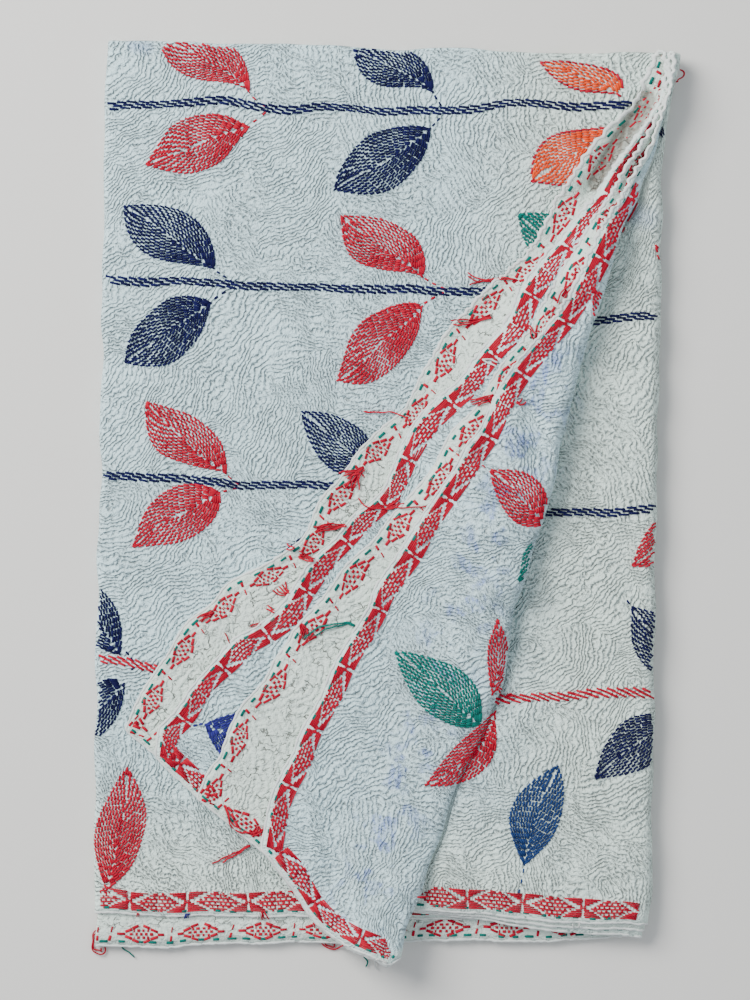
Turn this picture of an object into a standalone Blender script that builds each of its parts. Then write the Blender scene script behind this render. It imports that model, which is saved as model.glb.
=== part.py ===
"""Kantha quilt, folded to eight layers, with its four hem ends turned back in a fan.

The quilt is one sheet of cloth. It is folded in half at the top, then its two ends are folded in
and over, so that eight layers lie on the floor. The four upper layers are drawn back towards the
upper right corner: they tuck under themselves along a slanting ridge, and their hems fan out below.

Metres, +Z up. The quilt lies on Z = 0, and the origin is the middle of its underside.
"""

import math
from collections import namedtuple

import bpy
import numpy as np

# The cloth
THICKNESS = 0.0016
PITCH = 0.0028  # from one layer to the next
QUILT_COLOUR = (0.62, 0.66, 0.65, 1.0)

# The folded stack, seen from above
OUTLINE_MIDDLE = (0.0023, -0.0007)  # the origin, in the coordinates used here
STACK_HALF_WIDTH = 0.2376
STACK_MIDDLE_X = -0.0042
STACK_LEAN = 0.015  # the sides drift this far to the right for each metre up
TOP_EDGE_Y = 0.3850  # at the middle of the stack
TOP_EDGE_SLOPE = -0.027

# The tuck under the ridge of the turned-back layers
TURN_RADIUS = 0.0059  # of the middle of the four layers, where they double back
ROW_DROP = 0.0455  # how far a row of the cloth slips down as it goes through the tuck
FLAP_BULGE = 0.019  # of the flap's lower edge
BULGE_SHARE = 0.47  # of the flap's width, next to the ridge
FLAP_CORNER_Y = -0.195  # where the lowest of the four hems ends
FLAP_TIP_Y = 0.3778
TIP_GAPE = 0.006  # how far the layers stand open near the tip
GAPE_Y = 0.318
GAPE_REACH = 0.060
TIP_AT = (0.227, 0.378)
TIP_PULL = 0.004  # how far the stack's corner is drawn out below the tip
TIP_LEAN = 0.013  # how much further its topmost layer is drawn
TIP_REACH = 0.040

# Layers: how many pitches each layer's middle lies above the floor's first layer
BOTTOM_TURN_LEVEL = 1.5  # middle of the left fold
MIDDLE_TURN_LEVEL = 3.5  # middle of both right folds
UPPER_LEVEL = 5.5  # middle of the four upper layers

# One row for each height at which the turned-back layers are described: the ridge's crest, how far
# the layers turn there, the cloth tucked under it, the flap's descent, and the four hems.
Section = namedtuple("Section", "y crest turn tuck descent hem_a hem_b hem_c hem_d")
SECTIONS = (
    Section(-0.391, 0.003, 150, 0.002, 0.080, -0.300, -0.255, -0.190, -0.109),
    Section(-0.3455, 0.015, 130, 0.002, 0.080, -0.285, -0.240, -0.175, -0.107),
    Section(-0.297, 0.034, 66, 0.004, 0.080, -0.260, -0.222, -0.163, -0.103),
    Section(-0.255, 0.050, 48, 0.004, 0.080, -0.241, -0.204, -0.152, -0.092),
    Section(-0.208, 0.070, 52, 0.004, 0.085, -0.224, -0.186, -0.133, -0.074),
    Section(-0.167, 0.088, 64, 0.004, 0.090, -0.206, -0.166, -0.110, -0.055),
    Section(-0.135, 0.094, 95, 0.004, 0.095, -0.186, -0.137, -0.086, -0.039),
    Section(-0.108, 0.099, 140, 0.002, 0.100, -0.162, -0.107, -0.066, -0.024),
    Section(-0.085, 0.104, 180, 0.004, 0.105, -0.142, -0.080, -0.053, -0.010),
    Section(-0.010, 0.127, 180, 0.040, 0.105, -0.058, -0.018, 0.014, 0.039),
    Section(0.085, 0.149, 180, 0.040, 0.085, 0.027, 0.050, 0.082, 0.098),
    Section(0.170, 0.174, 180, 0.022, 0.066, 0.081, 0.113, 0.138, 0.156),
    Section(0.210, 0.185, 180, 0.004, 0.055, 0.122, 0.137, 0.163, 0.176),
    Section(0.235, 0.193, 120, 0.002, 0.050, 0.137, 0.158, 0.180, 0.187),
    Section(0.262, 0.204, 66, 0.003, 0.045, 0.153, 0.181, 0.195, 0.199),
    Section(0.303, 0.2195, 28, 0.001, 0.035, 0.177, 0.2075, 0.2150, 0.2175),
    Section(0.340, 0.2220, 18, 0.001, 0.025, 0.206, 0.2165, 0.2188, 0.2205),
    Section(0.385, 0.2240, 12, 0.001, 0.020, 0.2188, 0.2202, 0.2214, 0.2226),
)

# Where the hems at the bottom end, at each place along a row: one half of the quilt has its
# outer face up (front), and the other lies inside it.
HemEnd = namedtuple("HemEnd", "front inside")
HEM_ENDS = {
    "top_tuck": HemEnd(-0.3455, -0.3470),
    "outer_fold": HemEnd(-0.3610, -0.3665),
    "left_fold": HemEnd(-0.3515, -0.3800),
    "inner_fold": HemEnd(-0.3580, -0.3720),
    "low_tuck": HemEnd(-0.3460, -0.3480),
}

# The runs of a row, from the hem of the top layer to the hem of the fifth, with the faces in each
Run = namedtuple("Run", "name faces")
RUNS = (
    Run("flap_top", 8),
    Run("ridge_top", 4),
    Run("tuck_top", 1),
    Run("valley_top", 4),
    Run("right_top", 1),
    Run("outer_fold", 6),
    Run("floor_panel", 2),
    Run("left_fold", 4),
    Run("face_panel", 2),
    Run("inner_fold", 4),
    Run("right_low", 1),
    Run("valley_low", 4),
    Run("tuck_low", 1),
    Run("ridge_low", 4),
    Run("flap_low", 10),
)
WIDE_SPACE = 0.060  # sections further apart than this get a row of faces between them
HEM_TURN_FACES = 4  # round the half circle of the top fold
HEM_FADE = 8
FLAP_SPACING = 1.35  # the flap's faces are shorter near the ridge, where it bends most


def smoothstep(share):
    share = np.clip(share, 0.0, 1.0)
    return share * share * (3.0 - 2.0 * share)


def blend(start, end, share):
    return start + (end - start) * share


def at_height(y, column):
    """The named column of SECTIONS at each y, on a smooth curve that never overshoots its rows."""
    knots = np.array([section.y for section in SECTIONS])
    values = np.array([getattr(section, column) for section in SECTIONS])
    steps = np.diff(knots)
    rises = np.diff(values) / steps
    both = rises[:-1] * rises[1:]
    inner = np.where(both > 0.0, 2.0 * both / (rises[:-1] + rises[1:] + 1e-30), 0.0)
    slopes = np.concatenate([rises[:1], inner, rises[-1:]])
    y = np.clip(y, knots[0], knots[-1])
    k = np.clip(np.searchsorted(knots, y) - 1, 0, len(steps) - 1)
    u = (y - knots[k]) / steps[k]
    ease = u * u * (3.0 - 2.0 * u)
    leave = u * (1.0 - u) ** 2 * steps[k] * slopes[k]
    arrive = u * u * (u - 1.0) * steps[k] * slopes[k + 1]
    return blend(values[k], values[k + 1], ease) + leave + arrive


def level(pitches):
    """The height of the middle of a layer that lies this many pitches above the lowest."""
    return THICKNESS / 2 + pitches * PITCH


def fold_axis(y, side):
    """The x of the axis of the left folds (side -1) or of the right folds (side 1)."""
    widest = (1.5 if side < 0 else 3.5) * PITCH + THICKNESS / 2
    return STACK_MIDDLE_X + STACK_LEAN * y + side * (STACK_HALF_WIDTH - widest)


def tuck_advance(turn, tuck):
    """How far to the left the upper layers get between the valley and the crest."""
    return 2.0 * TURN_RADIUS * np.sin(turn) + tuck * np.cos(turn)


def tuck_rise(turn, tuck):
    return 2.0 * TURN_RADIUS * (1.0 - np.cos(turn)) + tuck * np.sin(turn)


def valley_x(y):
    turn = np.radians(at_height(y, "turn"))
    return at_height(y, "crest") + tuck_advance(turn, at_height(y, "tuck"))


def tuck_point(part, share, y, offset):
    """x and z on the valley turn, the tuck or the ridge turn, at an offset from the layers' middle."""
    full = np.radians(at_height(y, "turn"))
    tuck = at_height(y, "tuck")
    straight = {"valley": 0.0, "tuck": share, "ridge": 1.0}[part] * tuck
    first = full * share if part == "valley" else full
    heading = full * (1.0 - share) if part == "ridge" else first
    left = TURN_RADIUS * np.sin(first) + straight * np.cos(full)
    up = TURN_RADIUS * (1.0 - np.cos(first)) + straight * np.sin(full)
    if part == "ridge":
        left = left + TURN_RADIUS * (np.sin(full) - np.sin(heading))
        up = up + TURN_RADIUS * (np.cos(heading) - np.cos(full))
    x = valley_x(y) - left + offset * np.sin(heading)
    return x, level(UPPER_LEVEL) + up + offset * np.cos(heading)


def flap_height(x, y):
    """The height of the middle of the flap's four layers: level by the ridge, then down to rest."""
    turn = np.radians(at_height(y, "turn"))
    tuck = at_height(y, "tuck")
    shelf = np.maximum(0.0, -tuck_advance(turn, tuck))
    beyond = at_height(y, "crest") - x - shelf
    fallen = smoothstep(beyond / at_height(y, "descent"))
    return level(UPPER_LEVEL) + tuck_rise(turn, tuck) * (1.0 - fallen)


def flap_row(share, up, row_y):
    """x and y on the flap, from its crest (share 0) to the outermost hem (share 1)."""
    crest_y = row_y - ROW_DROP * (1.0 - up) ** 2
    hem_y = blend(FLAP_CORNER_Y, FLAP_TIP_Y, up)
    x = blend(at_height(crest_y, "crest"), at_height(hem_y, "hem_a"), share)
    bulge = np.sin(math.pi * np.minimum(share / BULGE_SHARE, 1.0)) ** 2
    y = blend(crest_y, hem_y, share) - FLAP_BULGE * bulge * (1.0 - up) ** 4
    return x, y


def hem_share(hem, up, row_y):
    """How much of the flap's row a layer covers: where the row meets that layer's hem."""
    if hem == "hem_a":
        return 1.0
    shares = np.linspace(0.0, 1.0, 401)
    x, y = flap_row(shares, up, row_y)
    return float(np.interp(0.0, at_height(y, hem) - x, shares))


def top_edge(x):
    return TOP_EDGE_Y + TOP_EDGE_SLOPE * (x - STACK_MIDDLE_X)


def row_shares():
    """How far up the cloth each row of faces runs: at each section, and once in each wide space."""
    bottom = HEM_ENDS["top_tuck"].front
    heights = [section.y for section in SECTIONS if section.y >= bottom]
    heights[-1] = float(top_edge(at_height(heights[-1], "crest")))
    rows = [heights[0]]
    for below, above in zip(heights, heights[1:]):
        if above - below > WIDE_SPACE:
            rows.append((below + above) / 2)
        rows.append(above)
    return (np.array(rows) - rows[0]) / (rows[-1] - rows[0])


def hem_y(place, half):
    """The y of the bottom hem; half is 1 in the front half, -1 in the inside one."""
    ends = HEM_ENDS[place]
    return blend(ends.inside, ends.front, (1.0 + half) / 2.0)


def row_height(place, next_place, share, half, up, x):
    """The y of a row of the cloth; the hems' unevenness fades out a little way up."""
    even = HEM_ENDS["top_tuck"].front
    uneven = blend(hem_y(place, half), hem_y(next_place, half), share) - even
    return blend(even, top_edge(x) - PITCH / 2, up) + uneven * (1.0 - up) ** HEM_FADE


def gape(x, y, layer_share):
    """How far a layer stands off the one below it near the tip, where the hems open."""
    near_tip = np.exp(-(((y - GAPE_Y) / GAPE_REACH) ** 2))
    return TIP_GAPE * layer_share * near_tip * smoothstep((at_height(y, "crest") - x) / 0.020)


def stack_point(run, share, half, up):
    """One point of the cloth: how far along its run, which half it is in, and how far up.

    half runs from 1 to -1 round the top fold, and moves a point half a pitch to either side of
    the middle of the two layers that the fold joins.
    """
    pair = half * PITCH / 2
    name, _, stage = run.partition("_")
    if run == "outer_fold":
        return turned(share, "outer_fold", 3.0 * PITCH + pair, 1, half, up)
    if run == "inner_fold":
        return turned(1.0 - share, "inner_fold", PITCH - pair, 1, half, up)
    if run == "left_fold":
        return turned(1.0 - share, "left_fold", PITCH + pair, -1, half, up)
    if run == "floor_panel":
        return panel("outer_fold", "left_fold", share, 0.5, -pair, half, up)
    if run == "face_panel":
        return panel("inner_fold", "left_fold", 1.0 - share, 2.5, pair, half, up)

    # The runs of the four upper layers, from the right fold to the hems
    inward = share if stage == "low" else 1.0 - share
    offset = PITCH + pair if stage == "top" else -PITCH - pair
    tuck = "top_tuck" if stage == "top" else "low_tuck"
    fold = "outer_fold" if stage == "top" else "inner_fold"
    row_y = row_height(tuck, tuck, 0.0, half, up, TIP_AT[0])
    if name == "right":
        x = blend(fold_axis(row_y, 1), valley_x(row_y), inward)
        y = row_height(fold, tuck, inward, half, up, x)
        x = blend(fold_axis(y, 1), valley_x(y), inward)
        return x, y, level(UPPER_LEVEL) + offset
    if name in ("valley", "tuck", "ridge"):
        slipped = {"valley": 0.0, "tuck": 0.25, "ridge": 0.75}[name]
        slipped += {"valley": 0.25, "tuck": 0.5, "ridge": 0.25}[name] * inward
        y = row_y - ROW_DROP * (1.0 - up) ** 2 * slipped
        x, z = tuck_point(name, inward, y, offset)
        return x, y, z
    hems = ("hem_d", "hem_c") if stage == "top" else ("hem_a", "hem_b")
    front, inside = (hem_share(hem, up, row_y) for hem in hems)
    reach = blend(inside, front, (1.0 + half) / 2.0)
    x, y = flap_row(inward**FLAP_SPACING * reach, up, row_y)
    opened = 2.0 + half / 2.0 if stage == "top" else 0.5 - half / 2.0
    return x, y, flap_height(x, y) + offset + gape(x, y, opened)


def turned(share, place, radius, side, half, up):
    """A point on a fold at the side, from its upper end (share 0) to its lower end (share 1)."""
    middle = BOTTOM_TURN_LEVEL if side < 0 else MIDDLE_TURN_LEVEL
    y = row_height(place, place, 0.0, half, up, side * STACK_HALF_WIDTH)
    angle = math.pi * share
    x = fold_axis(y, side) + side * radius * math.sin(angle)
    return x, y, level(middle) + radius * math.cos(angle)


def panel(place, next_place, share, pitches, offset, half, up):
    """A point on a flat panel between the right folds and the left one."""
    x = blend(fold_axis(0.0, 1), fold_axis(0.0, -1), share)
    y = row_height(place, next_place, share, half, up, x)
    return blend(fold_axis(y, 1), fold_axis(y, -1), share), y, level(pitches) + offset


def draw_tip(points):
    """Draws the layers out to the right at the upper right corner, the more the higher they lie."""
    x, y, z = points.T
    near = np.exp(-(((y - TIP_AT[1]) / TIP_REACH) ** 2)) * smoothstep((x - TIP_AT[0]) / 0.09 + 1.0)
    points[:, 0] += near * (TIP_PULL + TIP_LEAN * z / level(7))
    return points


def quilt_points():
    """The folded place of each point of the flat cloth, as rows up the cloth and columns along."""
    stations = [(run.name, k / run.faces) for run in RUNS for k in range(run.faces)]
    stations.append((RUNS[-1].name, 1.0))
    ups = row_shares()
    turn = [math.cos(math.pi * k / HEM_TURN_FACES) for k in range(1, HEM_TURN_FACES)]
    rows = [(1.0, up, 0.0) for up in ups]
    rows += [(half, 1.0, math.sqrt(1.0 - half * half)) for half in turn]
    rows += [(-1.0, up, 0.0) for up in ups[::-1]]
    points = []
    for half, up, past_edge in rows:
        for run, share in stations:
            x, y, z = stack_point(run, share, half, up)
            points.append((float(x), float(y) + past_edge * PITCH / 2, float(z)))
    points = draw_tip(np.array(points))
    points[:, :2] -= OUTLINE_MIDDLE
    return points.reshape(len(rows), len(stations), 3)


def make_material():
    material = bpy.data.materials.new("quilted_cotton")
    material.use_nodes = True
    shader = material.node_tree.nodes["Principled BSDF"]
    shader.inputs["Base Color"].default_value = QUILT_COLOUR
    shader.inputs["Roughness"].default_value = 0.92
    shader.inputs["Metallic"].default_value = 0.0
    return material


def make_quilt(collection):
    """The flat cloth as a grid, its points carried to their folded places, and then its thickness."""
    folded = quilt_points()
    rows, columns = folded.shape[:2]
    bpy.ops.mesh.primitive_grid_add(x_subdivisions=columns - 1, y_subdivisions=rows - 1, size=2)
    quilt = bpy.context.object
    quilt.name = "quilt"
    mesh = quilt.data
    flat = np.empty(len(mesh.vertices) * 3)
    mesh.vertices.foreach_get("co", flat)
    place = (flat.reshape(-1, 3)[:, :2] + 1.0) / 2.0
    column = np.rint(place[:, 0] * (columns - 1)).astype(int)
    row = np.rint(place[:, 1] * (rows - 1)).astype(int)
    mesh.vertices.foreach_set("co", folded[row, column].ravel())
    mesh.update()
    mesh.materials.append(make_material())
    # The same diagonal in each layer keeps the layers apart where their faces twist
    quilt.modifiers.new("diagonals", "TRIANGULATE").quad_method = "SHORTEST_DIAGONAL"
    wall = quilt.modifiers.new("cloth_thickness", "SOLIDIFY")
    wall.thickness = THICKNESS
    wall.offset = 0.0
    mesh.shade_smooth()
    for holder in list(quilt.users_collection):
        holder.objects.unlink(quilt)
    collection.objects.link(quilt)
    return quilt


def main():
    for old in list(bpy.data.objects):
        bpy.data.objects.remove(old)
    collection = bpy.data.collections.new("kantha_quilt")
    bpy.context.scene.collection.children.link(collection)
    make_quilt(collection)


main()
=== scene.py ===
"""Kantha quilt, folded flat, with its four hem ends turned back in a fan: the looks.

The cloth is one sheet, carried from its flat place to its folded place by a FoldPlan. Stitching is laid
on it over x and y, at the height that a Chart gives for each layer's upper face. Settling then moves
cloth and thread together from the fold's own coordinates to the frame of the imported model.

Metres, +Z up. Tables that say so are in millimetres.
"""

import logging
import math
from dataclasses import dataclass, field
from enum import Enum
from typing import Any, Callable, Sequence

import bpy
import numpy as np
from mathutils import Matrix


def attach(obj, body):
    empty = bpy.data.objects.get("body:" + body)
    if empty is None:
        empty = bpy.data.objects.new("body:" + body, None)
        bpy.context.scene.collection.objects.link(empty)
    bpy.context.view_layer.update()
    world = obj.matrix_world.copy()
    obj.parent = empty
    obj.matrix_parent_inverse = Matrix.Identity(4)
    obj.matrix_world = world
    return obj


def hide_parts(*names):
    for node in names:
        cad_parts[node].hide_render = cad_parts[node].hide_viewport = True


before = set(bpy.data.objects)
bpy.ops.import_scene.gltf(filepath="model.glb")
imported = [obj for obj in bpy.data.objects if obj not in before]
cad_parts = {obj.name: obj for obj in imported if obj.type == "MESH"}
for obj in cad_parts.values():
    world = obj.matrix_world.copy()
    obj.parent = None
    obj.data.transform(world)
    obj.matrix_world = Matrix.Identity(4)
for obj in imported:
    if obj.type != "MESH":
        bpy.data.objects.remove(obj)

logging.basicConfig(level=logging.INFO, format="%(name)s: %(message)s")
LOG = logging.getLogger("kantha_quilt")

Array = np.ndarray
Colour = tuple[float, float, float, float]
Point2 = tuple[float, float]
Point3 = tuple[float, float, float]
Triple = tuple[Array, Array, Array]
Draw = np.random.Generator
Piece = bpy.types.Object
Material = bpy.types.Material

MM = 0.001


def metres(millimetres: Any) -> Array:
    """Lengths or places of the tables, which are in millimetres, in metres."""
    return np.array(millimetres, float) / 1000.0


# Shapes of numbers


def smoothstep(share: Array | float) -> Array:
    """Three times the square less twice the cube of the share, held between 0 and 1."""
    share = np.clip(share, 0.0, 1.0)
    return share * share * (3.0 - 2.0 * share)


def blend(start: Any, end: Any, share: Any) -> Any:
    """The value that lies this share of the way from start to end."""
    return start + (end - start) * share


@dataclass(frozen=True)
class Waves:
    """An even unevenness: a sum of plane waves with seeded directions, lengths and starts."""

    shortest: float
    longest: float
    seed: int
    count: int = 18

    def at(self, x: Array, y: Array) -> Array:
        """The sum of the sines of the place's distance along each wave's direction.

        Args:
            x: x of the points.
            y: y of the points.

        Returns:
            One number for each point, with a mean square of about 1.
        """
        draw = np.random.default_rng(self.seed)
        heading = draw.uniform(0.0, 2.0 * math.pi, self.count)
        length = np.exp(draw.uniform(math.log(self.shortest), math.log(self.longest), self.count))
        start = draw.uniform(0.0, 2.0 * math.pi, self.count)
        total = np.zeros(np.broadcast(x, y).shape)
        for turn, wave, begin in zip(heading, length, start):
            along = x * math.cos(turn) + y * math.sin(turn)
            total = total + np.sin(2.0 * math.pi * along / wave + begin)
        return total * math.sqrt(2.0 / self.count)


# The fold


@dataclass(frozen=True)
class Section:
    """The turned-back layers at one height: ridge crest, turn in degrees, tuck and descent."""

    y: float
    crest: float
    turn: float
    tuck: float
    descent: float


SECTIONS = (
    Section(-0.391, 0.003, 150, 0.002, 0.080),
    Section(-0.3455, 0.015, 130, 0.002, 0.080),
    Section(-0.297, 0.034, 66, 0.004, 0.080),
    Section(-0.255, 0.050, 48, 0.004, 0.080),
    Section(-0.208, 0.070, 52, 0.004, 0.085),
    Section(-0.167, 0.088, 64, 0.004, 0.090),
    Section(-0.135, 0.094, 95, 0.004, 0.095),
    Section(-0.108, 0.099, 140, 0.002, 0.100),
    Section(-0.085, 0.104, 180, 0.004, 0.105),
    Section(-0.010, 0.127, 180, 0.040, 0.105),
    Section(0.085, 0.149, 180, 0.040, 0.085),
    Section(0.170, 0.174, 180, 0.022, 0.066),
    Section(0.210, 0.185, 180, 0.004, 0.055),
    Section(0.235, 0.1945, 120, 0.002, 0.050),
    Section(0.262, 0.2070, 66, 0.003, 0.045),
    Section(0.303, 0.2215, 28, 0.001, 0.035),
    Section(0.340, 0.2232, 18, 0.001, 0.025),
    Section(0.385, 0.2246, 12, 0.001, 0.020),
)

# The courses of the four hems of the fan in millimetres: y and x, from the bottom up.
HEM_COURSES: dict[str, tuple[tuple[float, float], ...]] = {
    "hem_a": (
        (-391, -300), (-345.5, -285), (-297, -260), (-255, -241), (-208, -224), (-195, -219),
        (-165, -206), (-147, -194), (-129, -183), (-110, -171), (-100, -161), (-87, -146),
        (-72, -133), (-56.5, -106), (-45.5, -84), (-33, -70), (-19, -63), (1, -51), (17, -39),
        (43, -19), (62, 0), (72, 14), (79, 21), (92, 27.5), (105, 33), (119, 40.5), (133, 47),
        (143, 55), (157, 68.5), (173, 81), (182, 89.5), (188, 99), (197, 110), (206, 120),
        (215, 126.5), (226, 132.5), (239, 141), (252, 146.5), (266, 155), (284, 166.5), (303, 177.5),
        (320, 188), (331, 197), (340, 203), (349, 206), (358, 209), (367, 213), (385, 218.8),
    ),
    "hem_b": (
        (-391, -255), (-345.5, -240), (-297, -222), (-255, -204), (-216, -194), (-195, -191),
        (-183, -181), (-168, -169.6), (-152, -155.6), (-138, -144.2), (-123, -129.5),
        (-116, -122.5), (-108.5, -108.7), (-99.4, -94), (-85, -81), (-75.6, -77), (-64.5, -70),
        (-48.3, -57), (-28, -39.4), (-10.5, -22.5), (2.5, -7.6), (10, 0), (20, 5.1), (36, 11),
        (47, 15), (61, 26), (84, 43.5), (105, 65), (116, 73.5), (137, 93), (153, 104.5),
        (164, 109.7), (173, 113.2), (192, 125.2), (209, 138), (222, 151), (238, 163.8),
        (256, 176), (279, 191), (292, 197.5), (305, 203), (315, 207.5), (325, 211.5), (340, 217),
        (355, 219), (385, 220.2),
    ),
    "hem_c": (
        (-391, -190), (-345.5, -180), (-297, -170), (-255, -158), (-245, -153.5), (-232, -147.8),
        (-223, -142.6), (-217.5, -137.5), (-208, -136), (-197, -132.5), (-180, -121.6),
        (-150.7, -101.6), (-133, -90.5), (-122, -81.8), (-113.6, -78.6), (-96, -63.2),
        (-81.4, -51.2), (-67.7, -39.4), (-48.9, -23.2), (-33.3, -6.9), (-13, 9), (1.6, 22.5),
        (14, 31.5), (26, 40.4), (49.6, 54.2), (62, 61.6), (80, 77.5), (102, 92.5), (124, 108),
        (149, 125), (173, 138), (196, 153), (222.5, 170), (248, 185), (273, 199), (290, 206),
        (303, 210.5), (318, 215), (340, 219), (385, 221.4),
    ),
    "hem_d": (
        (-391, -109), (-345.5, -107), (-290, -103.5), (-275, -99.7), (-259, -96.4), (-245, -91.9),
        (-224, -82.8), (-210, -74.3), (-203, -72.3), (-167, -55), (-135, -39), (-108, -24),
        (-84.6, -9.5), (-76.8, -6.9), (-65, 0.3), (-41, 14.5), (-11, 34.5), (10, 48), (28, 61),
        (47, 70.8), (59, 79.2), (77, 88), (96, 100), (120, 116.5), (139, 130.5), (158, 147),
        (181, 160), (215, 178), (237, 190.5), (258, 201.5), (272, 208.5), (288, 215), (303, 218.8),
        (340, 221.2), (385, 223),
    ),
}


@dataclass(frozen=True)
class HemEnd:
    """Where the bottom hem lies: in the half with its outer face out, and in the inside half."""

    front: float
    inside: float


class Place(Enum):
    """The places along a row of the cloth where the height of the bottom hem is known."""

    TOP_TUCK = HemEnd(-0.3455, -0.3470)
    OUTER_FOLD = HemEnd(-0.3610, -0.3665)
    LEFT_FOLD = HemEnd(-0.3515, -0.3800)
    INNER_FOLD = HemEnd(-0.3580, -0.3720)
    LOW_TUCK = HemEnd(-0.3460, -0.3480)


Ends = tuple[Place, Place]


class Run(Enum):
    """The runs of a row of the cloth, from the hem of the top layer to the hem of the fifth.

    Each value is the run's place in the row and how many faces it has along it.
    """

    FLAP_TOP = (0, 34)
    RIDGE_TOP = (1, 9)
    TUCK_TOP = (2, 2)
    VALLEY_TOP = (3, 10)
    RIGHT_TOP = (4, 28)
    OUTER_FOLD = (5, 8)
    FLOOR_PANEL = (6, 4)
    LEFT_FOLD = (7, 7)
    FACE_PANEL = (8, 40)
    INNER_FOLD = (9, 5)
    RIGHT_LOW = (10, 3)
    VALLEY_LOW = (11, 6)
    TUCK_LOW = (12, 1)
    RIDGE_LOW = (13, 6)
    FLAP_LOW = (14, 58)

    @property
    def faces(self) -> int:
        """How many faces the run has along a row."""
        return self.value[1]

    @property
    def on_top(self) -> bool:
        """Whether the run is part of the upper pair of the four turned-back layers."""
        return self.name.endswith("TOP")


@dataclass(frozen=True)
class FoldPlan:
    """Where each point of the flat cloth lies once it is folded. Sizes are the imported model's."""

    thickness: float = 0.0016
    pitch: float = 0.0028
    stack_half_width: float = 0.2376
    stack_middle_x: float = -0.0042
    stack_lean: float = 0.015
    top_edge_y: float = 0.3850
    top_edge_slope: float = -0.027
    turn_radius: float = 0.0059
    row_drop: float = 0.0455
    flap_bulge: float = 0.019
    bulge_share: float = 0.47
    flap_corner_y: float = -0.195
    flap_tip_y: float = 0.3778
    tip_gape: float = 0.006
    gape_y: float = 0.318
    gape_reach: float = 0.060
    gape_width: float = 0.020
    tip_x: float = 0.227
    bottom_turn_level: float = 1.5
    middle_turn_level: float = 3.5
    upper_level: float = 5.5
    hem_fade: float = 8.0
    hem_lift: float = 0.0028
    hem_lift_reach: float = 0.020
    hem_room: float = 0.030
    hem_waves: Waves = Waves(0.042, 0.090, 5)
    hem_wave_most: float = 1.4
    tip_lift: float = 0.0085
    tip_lift_reach: float = 0.0105

    def column(self, y: Array, name: str) -> Array:
        """The named column of SECTIONS, or the named hem's course, at each y.

        The curve is a cubic between rows. Its slope at a row is the harmonic mean of the slopes on
        both sides, or zero where they differ in sign, so that it never overshoots.

        Args:
            y: heights in the fold's coordinates.
            name: a field of Section, or a key of HEM_COURSES.

        Returns:
            The value at each y.
        """
        if name in HEM_COURSES:
            knots, values = np.array(HEM_COURSES[name]).T * MM
        else:
            knots = np.array([section.y for section in SECTIONS])
            values = np.array([getattr(section, name) for section in SECTIONS])
        steps = np.diff(knots)
        rises = np.diff(values) / steps
        both = rises[:-1] * rises[1:]
        inner = np.where(both > 0.0, 2.0 * both / (rises[:-1] + rises[1:] + 1e-30), 0.0)
        slopes = np.concatenate([rises[:1], inner, rises[-1:]])
        y = np.clip(y, knots[0], knots[-1])
        k = np.clip(np.searchsorted(knots, y) - 1, 0, len(steps) - 1)
        u = (y - knots[k]) / steps[k]
        leave = u * (1.0 - u) ** 2 * steps[k] * slopes[k]
        arrive = u * u * (u - 1.0) * steps[k] * slopes[k + 1]
        return blend(values[k], values[k + 1], smoothstep(u)) + leave + arrive

    def level(self, pitches: float) -> float:
        """The height of the middle of a layer that lies this many pitches above the lowest."""
        return self.thickness / 2 + pitches * self.pitch

    def fold_axis(self, y: Array, side: int) -> Array:
        """The x of the axis of the left folds (side -1) or of the right folds (side 1)."""
        turn = self.bottom_turn_level if side < 0 else self.middle_turn_level
        widest = turn * self.pitch + self.thickness / 2
        return self.stack_middle_x + self.stack_lean * y + side * (self.stack_half_width - widest)

    def tuck_advance(self, turn: Array, tuck: Array) -> Array:
        """How far to the left the upper layers get between the valley and the crest."""
        return 2.0 * self.turn_radius * np.sin(turn) + tuck * np.cos(turn)

    def tuck_rise(self, turn: Array, tuck: Array) -> Array:
        """How far the upper layers rise between the valley and the crest."""
        return 2.0 * self.turn_radius * (1.0 - np.cos(turn)) + tuck * np.sin(turn)

    def valley_x(self, y: Array) -> Array:
        """The x at which the upper layers leave the flat stack."""
        turn = np.radians(self.column(y, "turn"))
        return self.column(y, "crest") + self.tuck_advance(turn, self.column(y, "tuck"))

    def tuck_point(self, part: str, share: Array, y: Array, offset: Array) -> tuple[Array, Array]:
        """A point on the valley turn, the tuck or the ridge turn.

        Two arcs are joined by a straight tuck. The first turns the layers up and over by the
        section's turn, and the second turns them back to level at the crest.

        Args:
            part: "valley", "tuck" or "ridge".
            share: how far along the part, from the stack towards the crest.
            y: height of the section.
            offset: how far off the middle of the four layers, along their normal.

        Returns:
            x and z.
        """
        full = np.radians(self.column(y, "turn"))
        tuck = self.column(y, "tuck")
        straight = {"valley": 0.0, "tuck": share, "ridge": 1.0}[part] * tuck
        first = full * share if part == "valley" else full
        heading = full * (1.0 - share) if part == "ridge" else first
        left = self.turn_radius * np.sin(first) + straight * np.cos(full)
        up = self.turn_radius * (1.0 - np.cos(first)) + straight * np.sin(full)
        if part == "ridge":
            left = left + self.turn_radius * (np.sin(full) - np.sin(heading))
            up = up + self.turn_radius * (np.cos(heading) - np.cos(full))
        x = self.valley_x(y) - left + offset * np.sin(heading)
        return x, self.level(self.upper_level) + up + offset * np.cos(heading)

    def flap_height(self, x: Array, y: Array) -> Array:
        """The middle of the flap's four layers: level by the ridge, then smoothly down to rest."""
        turn = np.radians(self.column(y, "turn"))
        tuck = self.column(y, "tuck")
        shelf = np.maximum(0.0, -self.tuck_advance(turn, tuck))
        beyond = self.column(y, "crest") - x - shelf
        fallen = smoothstep(beyond / self.column(y, "descent"))
        return self.level(self.upper_level) + self.tuck_rise(turn, tuck) * (1.0 - fallen)

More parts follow.
